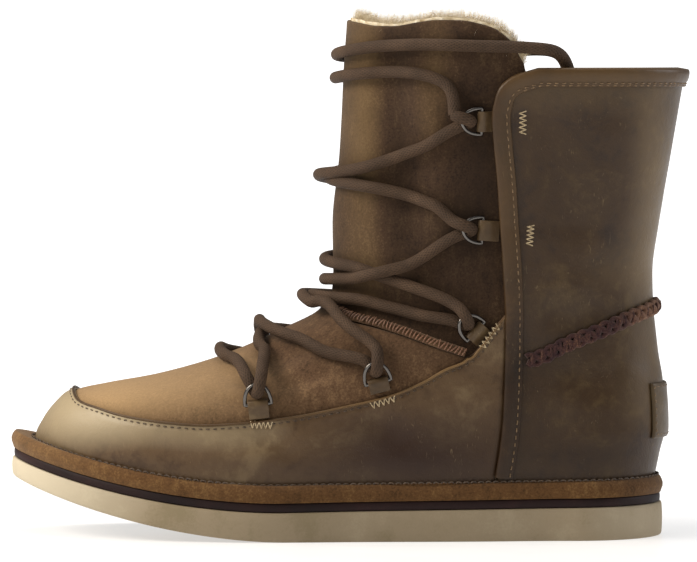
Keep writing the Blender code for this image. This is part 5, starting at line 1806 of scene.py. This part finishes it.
@dataclass
class Tongue:
    """Wrap-round suede tongue with its fleece backing."""

    wall: float = 0.0022
    tuck: float = 0.0110
    reach: float = 1 + 1 / 7
    fleece: float = 0.0034

    def edges(self, columns: np.ndarray) -> tuple[np.ndarray, np.ndarray]:
        """Rise of its lower and its upper edge at each column."""
        low = LAST.line_rise(LAST.around_tongue, columns % 4, THROAT_LINE[:8], self.tuck)
        share = np.abs(columns) / self.reach
        top = smooth_through(*table(TONGUE_TOP, 1), share) * LAST.tongue - LAST.heel_feather
        return low, top

    def build(self) -> None:
        """Builds the suede, the fleece behind it and the fleece that stands above its edge."""
        face = -LAST.wall - 2 * LAST.gap
        columns = np.linspace(-self.reach, self.reach, 200)
        low, top = self.edges(columns)
        rise = rows_between(low, top, 92, 0.003)
        turn = LAST.around_tongue(np.broadcast_to(columns % 4, rise.shape), rise)
        thick = 0.0014 * (0.3 + 0.7 * rim_share(top - rise, 0.0009))
        outside = LAST.settle(turn, rise, face - 0.0014 + thick)
        inside = LAST.settle(turn, rise, np.full(rise.shape, face - 0.0014))
        points, faces = shell(outside, inside)
        # Painted light on the side that faces the toe lamp and on the fold, painted shade in the long hollow, between
        # the laces and beside the binding.
        light_and_stain_spots = (
            PaintedLightAndStain(150, 176, 9, 60, 0.50),
            PaintedLightAndStain(164, 150, 8, 50, -0.45),
            PaintedLightAndStain(178, 196, 10, 22, 0.30),
            PaintedLightAndStain(168, 204, 8, 12, -0.30),
            PaintedLightAndStain(156, 110, 12, 14, 0.20),
            PaintedLightAndStain(186, 104, 22, 20, -0.25),
            PaintedLightAndStain(198, 160, 12, 40, -0.60),
            PaintedLightAndStain(192, 128, 14, 16, -0.35),
            PaintedLightAndStain(176, 172, 12, 12, 0.15),
        )
        add_piece("tongue_suede", points, faces, Finish.TONGUE, ("tongue",), painted_light_and_stain_tone(points, light_and_stain_spots))
        self.line(face)
        Fringe().build("tongue_fringe", *self.rim(face), 6500)

    def line(self, face: float) -> None:
        """Fleece on the tongue's inside, which stands a little above its edge."""
        columns = np.linspace(-self.reach, self.reach, 150)
        low, top = self.edges(columns)
        top = top + 0.0010
        rise = low + (top - low) * np.linspace(0.0, 1.0, 84)[:, None]
        turn = LAST.around_tongue(np.broadcast_to(columns % 4, rise.shape), rise)
        back = LAST.settle(turn, rise, np.full(rise.shape, face - 0.0015))
        pile = self.fleece * (0.35 + 0.65 * rim_share(top - rise, 0.003)) * (1 + 0.28 * lumps(back, 5.0))
        front = back - LAST.normal(turn, rise) * pile[..., None]
        back[-1, :, 2] += 0.0005 * lumps(back[-1], 4.0)
        points, faces = shell(front, back)
        add_piece("tongue_lining", points, faces, Finish.FLEECE)

    def rim(self, face: float) -> tuple[np.ndarray, np.ndarray]:
        """Points and outward directions along the tongue's top edge."""
        columns = np.linspace(-self.reach, self.reach, 300)
        _, top = self.edges(columns)
        turn = LAST.around_tongue(columns % 4, top)
        path = LAST.settle(turn, top, np.full(top.shape, face - 0.0042))
        up = unit(-LAST.normal(turn, top) * 0.35 + np.array([0.0, 0.0, 1.0]))
        return path, up


@dataclass
class Fringe:
    """Loose fleece hairs that stand out of an edge and curl back."""

    length: float = 0.0072
    thickness: float = 0.00012
    spread: float = 0.0028
    segments: int = 4

    def build(self, name: str, path: np.ndarray, up: np.ndarray, count: int) -> bpy.types.Object:
        """Plants hairs along a line.

        Args:
            name: name of the piece.
            path: the line they grow from.
            up: the way they stand at each of its points.
            count: how many hairs.

        Returns:
            One object that holds them all.
        """
        draw = np.random.default_rng(count)
        along = arc_length(path)
        at = draw.uniform(0.0, along[-1], count)
        root = np.stack([np.interp(at, along, path[:, axis]) for axis in range(3)], axis=-1)
        way = unit(np.stack([np.interp(at, along, up[:, axis]) for axis in range(3)], axis=-1))
        root = root + draw.normal(0.0, 0.25, (count, 3)) * self.spread
        root[:, 2] -= 0.0010
        lean = unit(way + draw.normal(0.0, 0.42, (count, 3)))
        curl = unit(draw.normal(0.0, 1.0, (count, 3)))
        tall = self.length * draw.uniform(0.45, 1.0, count)
        t = np.linspace(0.0, 1.0, self.segments + 1)[None, :, None]
        line = root[:, None] + lean[:, None] * (t * tall[:, None, None])
        swirl = np.sin(t * 4.2 + draw.uniform(0, 6.28, (count, 1, 1)))
        line = line + curl[:, None] * (0.28 * tall[:, None, None] * swirl * t)
        flat = unit(np.cross(lean, curl))[:, None]
        width = 0.5 * self.thickness * (1.0 - 0.75 * t)
        strip = np.stack([line + flat * width, line - flat * width], axis=2)
        third = line + np.cross(flat, lean[:, None]) * width
        strip = np.concatenate([strip, third[:, :, None]], axis=2)
        points = strip.reshape(-1, 3)
        faces = []
        size = (self.segments + 1) * 3
        pattern = ladder(self.segments + 1, 3, True)
        for hair in range(count):
            faces.append(pattern + hair * size)
        faces = np.concatenate(faces).tolist()
        caps = [(hair * size + 2, hair * size + 1, hair * size) for hair in range(count)]
        tips = [(hair * size + size - 3, hair * size + size - 2, hair * size + size - 1) for hair in range(count)]
        return add_piece(name, points, faces + caps + tips, Finish.FLEECE)


@dataclass
class Trims:
    """Rolled binding, heel plait, and the whip-stitched edge of the vamp."""

    binding_width: float = 0.0066
    binding_rise: float = 0.0014
    lip: float = 0.0011
    braid_width: float = 0.0078
    braid_rise: float = 0.0026
    lumps: int = 20
    roll_width: float = 0.0036
    roll_rise: float = 0.0019
    roll_end: float = 0.700

    def strip(self, turn: np.ndarray, rise: np.ndarray, across: np.ndarray, off: np.ndarray) -> tuple[np.ndarray, list]:
        """Body along a line from rows of (across, off) for each of its points."""
        turns, rises = beside(turn, rise, across)
        return lofted(LAST.settle(turns, rises, off))

    def binding_line(self) -> tuple[np.ndarray, np.ndarray]:
        """Line up the quarter's outer front, round the collar and down the inner front."""
        start = float(LAST.bottom_rise(np.ones(1), LAST.welt + 6 * LAST.gap, 3 * LAST.leather)[0])
        rise = np.concatenate(
            [np.linspace(start, 0.85 * LAST.collar_rise, 60), LAST.collar_rise * np.linspace(0.86, 0.985, 22)]
        )
        edge = LAST.side_turn(QUARTER_EDGE, rise)
        corner = float(LAST.side_turn(QUARTER_EDGE, np.array(LAST.collar_rise)))
        collar = np.linspace(corner, 2 * math.pi - corner, 80)
        turn = np.concatenate([edge, collar, 2 * math.pi - edge[::-1]])
        rise = np.concatenate([rise, np.full(collar.shape, LAST.collar_rise), rise[::-1]])
        turn, rise, _ = spaced(turn, rise, 0.0016)
        return turn, rise

    def build_binding(self) -> None:
        """Folded leather edge: a soft roll, flat where it is stitched down."""
        turn, rise = self.binding_line()
        base = 3 * LAST.gap + LAST.leather
        height = LAST.point(turn, rise)[:, 2]
        above = ease((height - THROAT_LINE[-1][1] * LAST.collar) / 0.003)
        deep = 0.5 * LAST.gap + above * (LAST.leather + LAST.wall)
        profile = [
            (1.00, 0.02), (0.97, 0.38), (0.86, 0.55), (0.76, 0.50), (0.68, 0.56), (0.56, 0.86),
            (0.38, 1.02), (0.18, 1.05), (0.00, 0.96), (-0.10, 0.74), (-0.16, 0.42),
        ]
        count = len(turn)
        across = np.array([share * self.binding_width for share, _ in profile] + [-self.lip, -LAST.gap, -LAST.gap])
        across = np.broadcast_to(across, (count, len(across))).copy()
        off = np.array([base + share * self.binding_rise for _, share in profile])
        off = np.broadcast_to(off, (count, len(off)))
        off = np.column_stack([off, base - deep, base - deep, np.full(count, base)])
        points, faces = self.strip(turn, rise, across, off)
        # Painted light on the upper front edge and the collar's top, painted shade low at the front.
        light_and_stain_spots = (PaintedLightAndStain(212, 150, 8, 60, 0.25), PaintedLightAndStain(250, 194, 40, 8, 0.40), PaintedLightAndStain(208, 60, 9, 30, -0.35))
        add_piece("binding_roll", points, faces, Finish.BINDING, ("binding",), painted_light_and_stain_tone(points, light_and_stain_spots))
        sewn = Seam(0.0021, 0.0010, 0.00055)
        face = base + 0.5 * self.binding_rise
        line_turn, line_rise = beside(turn, rise, 0.76 * self.binding_width)
        sewn.sew("binding_stitches", line_turn, line_rise, face, Finish.TAN_THREAD)
        top = height > 0.985 * LAST.collar
        low_turn, low_rise = beside(turn[top], rise[top], 0.90 * self.binding_width)
        sewn.sew("collar_stitches", low_turn, low_rise, face - 0.0002, Finish.TAN_THREAD)

    def build_braid(self) -> None:
        """Plait of three strands across the back, from binding to binding."""
        base = 2.6 * LAST.gap + LAST.leather
        outer = [LAST.side_spot(1, row[0], row[1]) for row in BRAID_LINE[:-1]]
        back_rise = float(LAST.rise_on(np.array(LAST.sole_length), BRAID_LINE[-1][1] * LAST.collar))
        half = np.array(outer + [(math.pi, back_rise)])
        full = np.concatenate([half, [(2 * math.pi - t, r) for t, r in half[-2::-1]]])
        along = arc_length(LAST.point(full[:, 0], full[:, 1]))
        at = np.linspace(0.0, along[-1], 560)
        turn = smooth_through(along, full[:, 0], at)
        rise = smooth_through(along, full[:, 1], at)
        share = at / along[-1]
        bodies = []
        for strand in range(3):
            phase = math.pi * self.lumps * share + 2 * math.pi * strand / 3
            across = 0.30 * self.braid_width * np.sin(phase)
            over = 0.5 + 0.5 * np.cos(2 * phase)
            off = base + 0.25 * MM + 1.25 * MM * (0.35 + 0.65 * over)
            turns, rises = beside(turn, rise, across)
            path = LAST.settle(turns, rises, off)
            bodies.append(lofted(swept_round(path, 1.35 * MM * (0.86 + 0.14 * over), 10)))
        points, faces = joined(bodies)
        # Painted highlight at the heel's back curve, painted shade where it meets the binding at the front.
        tone = painted_light_and_stain_tone(points, (PaintedLightAndStain(268, 96, 10, 10, 0.3), PaintedLightAndStain(212, 74, 10, 10, -0.3)))
        add_piece("heel_plait", points, faces, Finish.BRAID, ("heel_braid",), tone)
        tie_turn, tie_rise = beside(turn, rise, 0.0)
        Seam(0.0052, 0.0020, 0.0011, 1.15, 0.05).sew(
            "plait_ties", tie_turn, tie_rise, base + 2.2 * MM, Finish.BRAID
        )

    def build_vamp_edge(self) -> None:
        """Rolled suede edge at the throat, whipped over with rust thread."""
        columns = np.linspace(-0.93, 0.93, 240)
        rise = LAST.line_rise(LAST.around, columns % 4, THROAT_LINE)
        turn = LAST.around(columns % 4, rise)
        turn = np.where(turn > math.pi, turn - 2 * math.pi, turn)
        kept = LAST.point(turn, rise)[:, 0] < self.roll_end * LAST.sole_length
        turn, rise, _ = spaced(turn[kept][::-1], rise[kept][::-1], 0.0012)
        shape = [(0.0, 0.0), (0.10, 0.50), (0.28, 0.86), (0.50, 1.0), (0.72, 0.86), (0.90, 0.50), (1.0, 0.0)]
        across = np.array([a * self.roll_width for a, _ in shape])
        off = np.array([LAST.gap + o * 0.8 * self.roll_rise for _, o in shape])
        across = np.broadcast_to(across, (len(turn), len(shape)))
        off = np.broadcast_to(off, (len(turn), len(shape)))
        points, faces = self.strip(turn, rise, across, off)
        add_piece("vamp_edge_roll", points, faces, Finish.VAMP, ("vamp_edge_roll",))
        line_turn, line_rise = beside(turn, rise, 0.5 * self.roll_width)
        Seam(0.0038, 0.0005, 0.00062, 1.30, 0.20).sew(
            "vamp_whip_stitches", line_turn, line_rise, LAST.gap + 0.92 * self.roll_rise, Finish.RUST_THREAD
        )

    def build(self) -> None:
        """Builds all the trims."""
        self.build_binding()
        self.build_braid()
        self.build_vamp_edge()


@dataclass
class Fittings:
    """D-rings, the folded tabs that hold them, and the zigzag stitches that hold the tabs."""

    ring_width: float = 0.0124
    reach: float = 0.0092
    wire: float = 0.0016
    tilt: float = math.radians(20.0)
    tab_width: float = 0.0084
    tab_leather: float = 0.0010
    tab_length: float = 0.0056

    def seat(self, side: int, number: int) -> tuple:
        """Seat point, tab direction, bar direction, way out and table row of a ring."""
        row = RING_SEATS[number - 1]
        angle = math.radians(row[3])
        turn, rise = LAST.side_spot(side, row[1], row[2])
        normal = LAST.normal(turn, rise)
        seat = LAST.settle(turn, rise, np.array(-row[5] * (LAST.wall + LAST.gap)))
        pointing = np.array([math.cos(angle), 0.0, math.sin(angle)])
        tab_way = unit(pointing - normal * (pointing @ normal))
        return seat, tab_way, np.cross(normal, tab_way) * side, normal, row

    def bar(self, side: int, number: int) -> np.ndarray:
        """Middle of a ring's straight bar."""
        seat, _, _, normal, _ = self.seat(side, number)
        return seat + normal * (0.5 * self.wire + 2 * LAST.gap + self.tab_leather)

    def build_ring(self, side: int, number: int, label: str) -> None:
        """One D-ring of bent wire."""
        _, tab_way, bar_way, normal, _ = self.seat(side, number)
        bar = self.bar(side, number)
        arc_way = normal * math.sin(self.tilt) - tab_way * math.cos(self.tilt)
        half = 0.5 * (self.ring_width - self.wire)
        angles = np.linspace(0.0, math.pi, 41)
        deep = (self.reach - 0.5 * self.wire) * np.sin(angles) ** 0.8
        arc = bar + np.outer(half * np.cos(angles), bar_way) + np.outer(deep, arc_way)
        straight = bar - np.outer(half * np.linspace(0.92, -0.92, 13), bar_way)
        path = np.concatenate([arc, straight])
        points, faces = lofted(swept_round(path, 0.5 * self.wire, 14, True), True)
        name = f"ring_{number}_{label}"
        add_piece(f"d_{name}", points, faces, Finish.WIRE, (name,))

    def build_tab(self, side: int, number: int, label: str) -> None:
        """One leather tab folded round the bar, with rounded edges."""
        _, tab_way, bar_way, normal, row = self.seat(side, number)
        bar = self.bar(side, number)
        hole = 0.5 * self.wire + 0.1 * MM
        shell_out = 0.5 * self.wire + LAST.gap + self.tab_leather
        length = row[4] * self.tab_length + 0.6 * MM
        bend = np.linspace(-0.5 * math.pi, 0.5 * math.pi, 13)
        run = np.linspace(1.0, 0.12, 7)
        low = [(length * s, -shell_out) for s in run]
        over = [(-shell_out * math.cos(a), shell_out * math.sin(a)) for a in bend]
        drop = lambda s: shell_out - (shell_out + hole - 0.5 * MM) * float(ease(np.array(s))) ** 1.3
        top = [(length * s, drop(s)) for s in run[::-1]]
        back = [(length * s, min(drop(s) - self.tab_leather, hole)) for s in run]
        under = [(-hole * math.cos(a), hole * math.sin(a)) for a in bend[::-1]]
        close = [(length * s, -hole) for s in run[::-1]]
        profile = np.array(low[::1] + over + top + back + under + close)
        middle = profile.mean(axis=0)
        sections = []
        for share, shrink in ((-1.0, 0.93), (-0.975, 0.985), (-0.93, 1.0), (0.0, 1.0), (0.93, 1.0), (0.975, 0.985), (1.0, 0.93)):
            spot = middle + (profile - middle) * shrink
            centre = bar + bar_way * (share * 0.5 * self.tab_width)
            sections.append(centre + np.outer(spot[:, 0], tab_way) + np.outer(spot[:, 1], normal))
        points, faces = lofted(np.array(sections))
        name = f"tab_{number}_{label}"
        add_piece(f"leather_{name}", points, faces, Finish.TABS, (name,), None, 60.0)

    def zigzag(self, name: str, side: int, start: tuple, end: tuple, offset: float, teeth: int = 5) -> None:
        """Pale zigzag stitches between two points of the side, given in millimetres from the toe and floor."""
        ends = [
            LAST.side_spot(side, spot[0] * MM / LAST.sole_length, spot[1] * MM / LAST.collar) for spot in (start, end)
        ]
        shares = np.linspace(0.0, 1.0, 2 * teeth + 1)
        turn = ends[0][0] + (ends[1][0] - ends[0][0]) * shares
        rise = ends[0][1] + (ends[1][1] - ends[0][1]) * shares
        swing = 0.0014 * np.where(np.arange(len(shares)) % 2, 1.0, -1.0)
        turns, rises = beside(turn, rise, swing)
        fine = np.linspace(0.0, len(shares) - 1.0, 12 * teeth * 2 + 1)
        turns = np.interp(fine, np.arange(len(shares)), turns)
        rises = np.interp(fine, np.arange(len(shares)), rises)
        sink = 0.00012 * (1 - 2 * np.abs(fine - np.round(fine)))
        path = LAST.settle(turns, rises, offset + 0.0002 - sink)
        points, faces = lofted(swept_round(path, 0.00028, 6))
        add_piece(name, points, faces, Finish.PALE_THREAD)

    def build(self) -> None:
        """Builds all ten rings with their tabs and stitches."""
        for row in RING_SEATS:
            for side, label in ((1, "outer"), (-1, "inner")):
                self.build_ring(side, row[0], label)
                self.build_tab(side, row[0], label)
        face = LAST.gap + LAST.leather
        for side, label in ((1, "outer"), (-1, "inner")):
            self.zigzag(f"bartack_5_{label}", side, (103.5, 48.4), (112.5, 48.2), face)
            self.zigzag(f"bartack_4_{label}", side, (153.0, 56.3), (163.2, 59.4), face)
            self.zigzag(f"bartack_3_{label}", side, (198.5, 80.2), (205.5, 89.5), face)
            self.zigzag(f"bartack_2_{label}", side, (218.8, 131.0), (218.2, 122.5), face)
            self.zigzag(f"bartack_1_{label}", side, (215.5, 178.0), (215.5, 168.5), face)


@dataclass
class Laces:
    """One round cord laced through the rings, with its two ends laid round the shin."""

    diameter: float = 0.0050
    clearance: float = 0.0007
    sides: int = 18
    step: float = 0.0011
    end_softening: int = 9
    fittings: Fittings = field(default_factory=Fittings)

    def through(self, rows: list) -> np.ndarray:
        """Points on the last for rows of side, station, height, ground and lift."""
        found = []
        for side, station, height, ground, lift in rows:
            turn, rise = LAST.side_spot(side, station, height)
            off = self.clearance + (0.5 + lift) * self.diameter - ground * (LAST.wall + LAST.gap)
            found.append((turn, rise, off))
        spots = np.array(found)
        along = arc_length(LAST.place(spots[:, 0], spots[:, 1], spots[:, 2]))
        at = np.linspace(0.0, along[-1], max(3, round(along[-1] / (0.8 * self.diameter))) + 1)
        turn, rise, off = (smooth_through(along, spots[:, column], at) for column in range(3))
        return LAST.settle(turn, rise, off)

    def mouth(self, side: int, number: int, lane: int) -> tuple:
        """Row for the place where a strand meets its ring."""
        seat, tab_way, bar_way, _, row = self.fittings.seat(side, number)
        spot = seat - SHIFT - tab_way * (self.fittings.reach + 0.25 * self.diameter)
        spot = spot + bar_way * (lane * 0.56 * self.diameter)
        return (side, spot[0] / LAST.sole_length, spot[2] / LAST.collar, row[5], 0.05)

    def turn_in_ring(self, side: int, number: int, first: int) -> np.ndarray:
        """Points of the cord's turn through a ring: under the arc with one lane, over it with the other.

        Args:
            side: outer or inner side.
            number: the ring.
            first: lane of the strand that comes in, -1 for the lower one.

        Returns:
            Points from that strand to the other.
        """
        seat, tab_way, bar_way, normal, _ = self.fittings.seat(side, number)
        shape = [
            # away from the bar, lane, above the face, in millimetres but for the lane
            (9.4, -0.50, 2.5),
            (7.2, -0.34, 2.2),
            (5.2, -0.14, 2.3),
            (4.1, 0.00, 3.8),
            (4.9, 0.14, 6.2),
            (6.8, 0.28, 7.8),
            (9.0, 0.40, 7.9),
            (11.2, 0.52, 6.4),
        ]
        if first > 0:
            shape = shape[::-1]
        return np.array(
            [
                seat - tab_way * (away * MM) + bar_way * (lane * self.diameter) + normal * (up * MM)
                for away, lane, up in shape
            ]
        )

    def smooth(self, points: np.ndarray) -> np.ndarray:
        """Evenly spaced smooth path through points."""
        along = arc_length(points)
        at = np.linspace(0.0, along[-1], round(along[-1] / self.step) + 1)
        path = np.stack([smooth_through(along, points[:, axis], at) for axis in range(3)], axis=-1)
        kernel = np.array([1.0, 2.0, 3.0, 2.0, 1.0]) / 9.0
        padded = np.concatenate([[path[0]] * 2, path, [path[-1]] * 2])
        soft = np.stack([np.convolve(padded[:, axis], kernel, "valid") for axis in range(3)], axis=-1)
        soft[0], soft[-1] = path[0], path[-1]
        return soft

    def tube(self, name: str, path: np.ndarray, nodes: tuple, start: float) -> bpy.types.Object:
        """Cord along a path, with its map of the way round and the metres along.

        Args:
            name: name of the piece.
            path: middle line.
            nodes: CAD nodes it replaces.
            start: metres of cord before it.

        Returns:
            The cord.
        """
        sections = swept_round(path, 0.5 * self.diameter, self.sides)
        points, faces = lofted(sections)
        piece = add_piece(name, points, faces, Finish.LACE, nodes)
        mesh = piece.data
        along = start + arc_length(path)
        layer = mesh.uv_layers.new(name="cord")
        corners = np.zeros(len(mesh.loops), dtype=np.int32)
        mesh.loops.foreach_get("vertex_index", corners)
        around = (corners % self.sides) / self.sides
        places = np.stack([around, along[corners // self.sides]], axis=-1)
        for polygon in mesh.polygons:
            loop = list(polygon.loop_indices)
            values = around[loop]
            if values.max() - values.min() > 0.5:
                places[loop, 0] = np.where(values < 0.5, values + 1.0, values)
        layer.data.foreach_set("uv", places.ravel())
        return piece

    def run_path(self) -> np.ndarray:
        """Middle line of the laced run, from the outer ring 1 down to the bar and up to the inner ring 1."""
        parts = [self.turn_in_ring(1, 1, 1)]
        lower = [False, True, False, True, True, True, True, True, True]
        seat = (1, 1)
        for _ in range(9):
            strand = next(s for s in LACE_STRANDS if seat in (s[0], s[2]) and s not in lower)
            lower.append(strand)
            other = strand[0] if strand[2] == seat else strand[2]
            rows = strand[1] if strand[0] == seat else strand[1][::-1]
            parts.append(self.through(rows))
            came_up = other[1] > seat[1] or strand is LACE_STRANDS[4]
            parts.append(self.turn_in_ring(*other, 1 if came_up and seat[1] != 5 else -1))
            seat = other
        return self.smooth(np.concatenate(parts))

    def build_ends(self) -> None:
        """The two free ends, each a cord that leaves ring 1 and is tucked behind the other quarter."""
        for name, (side, number), rows in LACE_ENDS:
            exit_spot = self.turn_in_ring(side, number, -1)[-1]
            laid = self.through(rows)
            path = np.concatenate([[exit_spot], laid])
            for _ in range(self.end_softening):
                path = self.smooth(path)
            cord = self.tube(f"lace_tail_{name}", path, (f"lace_end_{name}",), 0.3)

    def build(self) -> None:
        """Builds the run and the ends."""
        self.build_ends()
        crossings = tuple(f"lace_crossing_{pair}" for pair in ("4_5", "3_4", "2_3", "1_2"))
        self.tube("lace_run", self.run_path(), ("lace_bar",) + crossings, 0.0)


@dataclass
class Studio:
    """White table, soft boxes and the camera at the photograph's angle."""

    distance: float = 2.2
    height: float = 0.1945
    aim: float = 0.1061
    azimuth: float = math.radians(2.0)
    lens: float = 270.6
    room_light: float = 0.30
    table_glow: float = 0.50

    def build_camera(self) -> None:
        """Camera on the outer side, a little towards the heel, looking slightly down."""
        camera = bpy.data.cameras.new("camera")
        camera.sensor_width = 36.0
        camera.lens = self.lens
        camera.clip_end = 20.0
        eye = bpy.data.objects.new("camera", camera)
        eye.location = (self.distance * math.sin(self.azimuth), -self.distance * math.cos(self.azimuth), self.height)
        way = Vector((0.0, 0.0, self.aim)) - eye.location
        eye.rotation_euler = way.to_track_quat("-Z", "Y").to_euler()
        bpy.context.scene.collection.objects.link(eye)
        bpy.context.scene.camera = eye

    def light(self, name: str, place: tuple, aim: tuple, size: tuple, watts: float, colour: str) -> None:
        """One soft box.

        Args:
            name: its name.
            place: where it stands.
            aim: what it points at.
            size: its width and height.
            watts: its power.
            colour: its hex colour.
        """
        lamp = bpy.data.lights.new(name, "AREA")
        lamp.shape = "RECTANGLE"
        lamp.size, lamp.size_y = size
        lamp.energy = watts
        lamp.color = linear(colour)[:3]
        box = bpy.data.objects.new(name, lamp)
        box.location = place
        box.rotation_euler = (Vector(aim) - Vector(place)).to_track_quat("-Z", "Y").to_euler()
        bpy.context.scene.collection.objects.link(box)

    def build_floor(self) -> None:
        """Large white table with a faint gloss; it glows as painted light, less near the boot."""
        made, tree, shader = new_material("white_lacquered_table")
        place = add_node(tree, "ShaderNodeTexCoord").outputs["Object"]
        grain = patterned(tree, place, 40.0, 2.0, 0.5)
        colour = ramp(tree, grain, [(0.3, "#c9c9ca"), (0.7, "#cfcfcf")])
        tree.links.new(colour, shader.inputs["Base Color"])
        # Painted light: the table glows white, weaker within about half a metre of the boot, which paints it darker
        # there.
        away = add_node(tree, "ShaderNodeVectorMath", {0: place}, operation="LENGTH").outputs["Value"]
        glow = add_node(
            tree,
            "ShaderNodeMapRange",
            {"Value": away, "From Min": 0.12, "From Max": 0.55, "To Min": self.table_glow, "To Max": 1.0},
            interpolation_type="SMOOTHSTEP",
        ).outputs["Result"]
        shader.inputs["Emission Color"].default_value = linear("#ffffff")
        tree.links.new(glow, shader.inputs["Emission Strength"])
        shader.inputs["Roughness"].default_value = 0.22
        mesh = bpy.data.meshes.new("table_top")
        work = bmesh.new()
        bmesh.ops.create_grid(work, x_segments=8, y_segments=8, size=6.0)
        work.to_mesh(mesh)
        work.free()
        mesh.materials.append(made)
        table_top = bpy.data.objects.new("table_top", mesh)
        bpy.context.scene.collection.objects.link(table_top)

    def build_backdrop(self) -> None:
        """White paper all round, which shows behind the boot and lights nothing."""
        made, tree, shader = new_material("white_backdrop_paper")
        place = add_node(tree, "ShaderNodeTexCoord").outputs["Object"]
        fibres = patterned(tree, place, 60.0, 2.0, 0.5)
        shader.inputs["Base Color"].default_value = linear("#ffffff")
        tree.links.new(ramp(tree, fibres, [(0.3, "#fefefe"), (0.7, "#ffffff")]), shader.inputs["Emission Color"])
        shader.inputs["Emission Strength"].default_value = 1.02
        mesh = bpy.data.meshes.new("backdrop_paper")
        work = bmesh.new()
        bmesh.ops.create_uvsphere(work, u_segments=48, v_segments=24, radius=9.0)
        bmesh.ops.reverse_faces(work, faces=work.faces)
        work.to_mesh(mesh)
        work.free()
        mesh.materials.append(made)
        backdrop = bpy.data.objects.new("backdrop_paper", mesh)
        backdrop.visible_diffuse = False
        backdrop.visible_glossy = False
        backdrop.visible_shadow = False
        backdrop.visible_transmission = False
        bpy.context.scene.collection.objects.link(backdrop)

    def build_lights(self) -> None:
        """White surroundings that light the boot dimly, a strong box over the toe, and two weaker ones."""
        world = bpy.data.worlds.new("white_room")
        bpy.context.scene.world = world
        world.use_nodes = True
        sky = world.node_tree.nodes["Background"]
        sky.inputs["Color"].default_value = linear("#ffffff")
        sky.inputs["Strength"].default_value = self.room_light
        self.build_backdrop()
        middle = (0.0, 0.0, 0.09)
        self.light("toe_box", (-1.15, -0.35, 0.95), (-0.04, 0.0, 0.07), (0.9, 0.7), 26.0, "#fff8ee")
        self.light("top_box", (-0.1, 0.1, 1.6), middle, (1.4, 1.0), 14.0, "#fffaf4")
        self.light("heel_box", (1.3, 0.25, 0.7), middle, (0.5, 0.7), 7.0, "#f8f9ff")
        view = bpy.context.scene.view_settings
        view.view_transform = "Standard"
        view.look = "None"

    def build(self) -> None:
        """Builds the camera, table and lights."""
        self.build_camera()
        self.build_floor()
        self.build_lights()


def main() -> None:
    """Builds camera and cords first, then the boot from the sole up."""
    logging.basicConfig(level=logging.INFO, format="%(name)s: %(message)s")
    Studio().build()
    Laces().build()
    Sole().build()
    Panels().build()
    Tongue().build()
    Trims().build()
    Fittings().build()


if __name__ == "__main__":
    main()
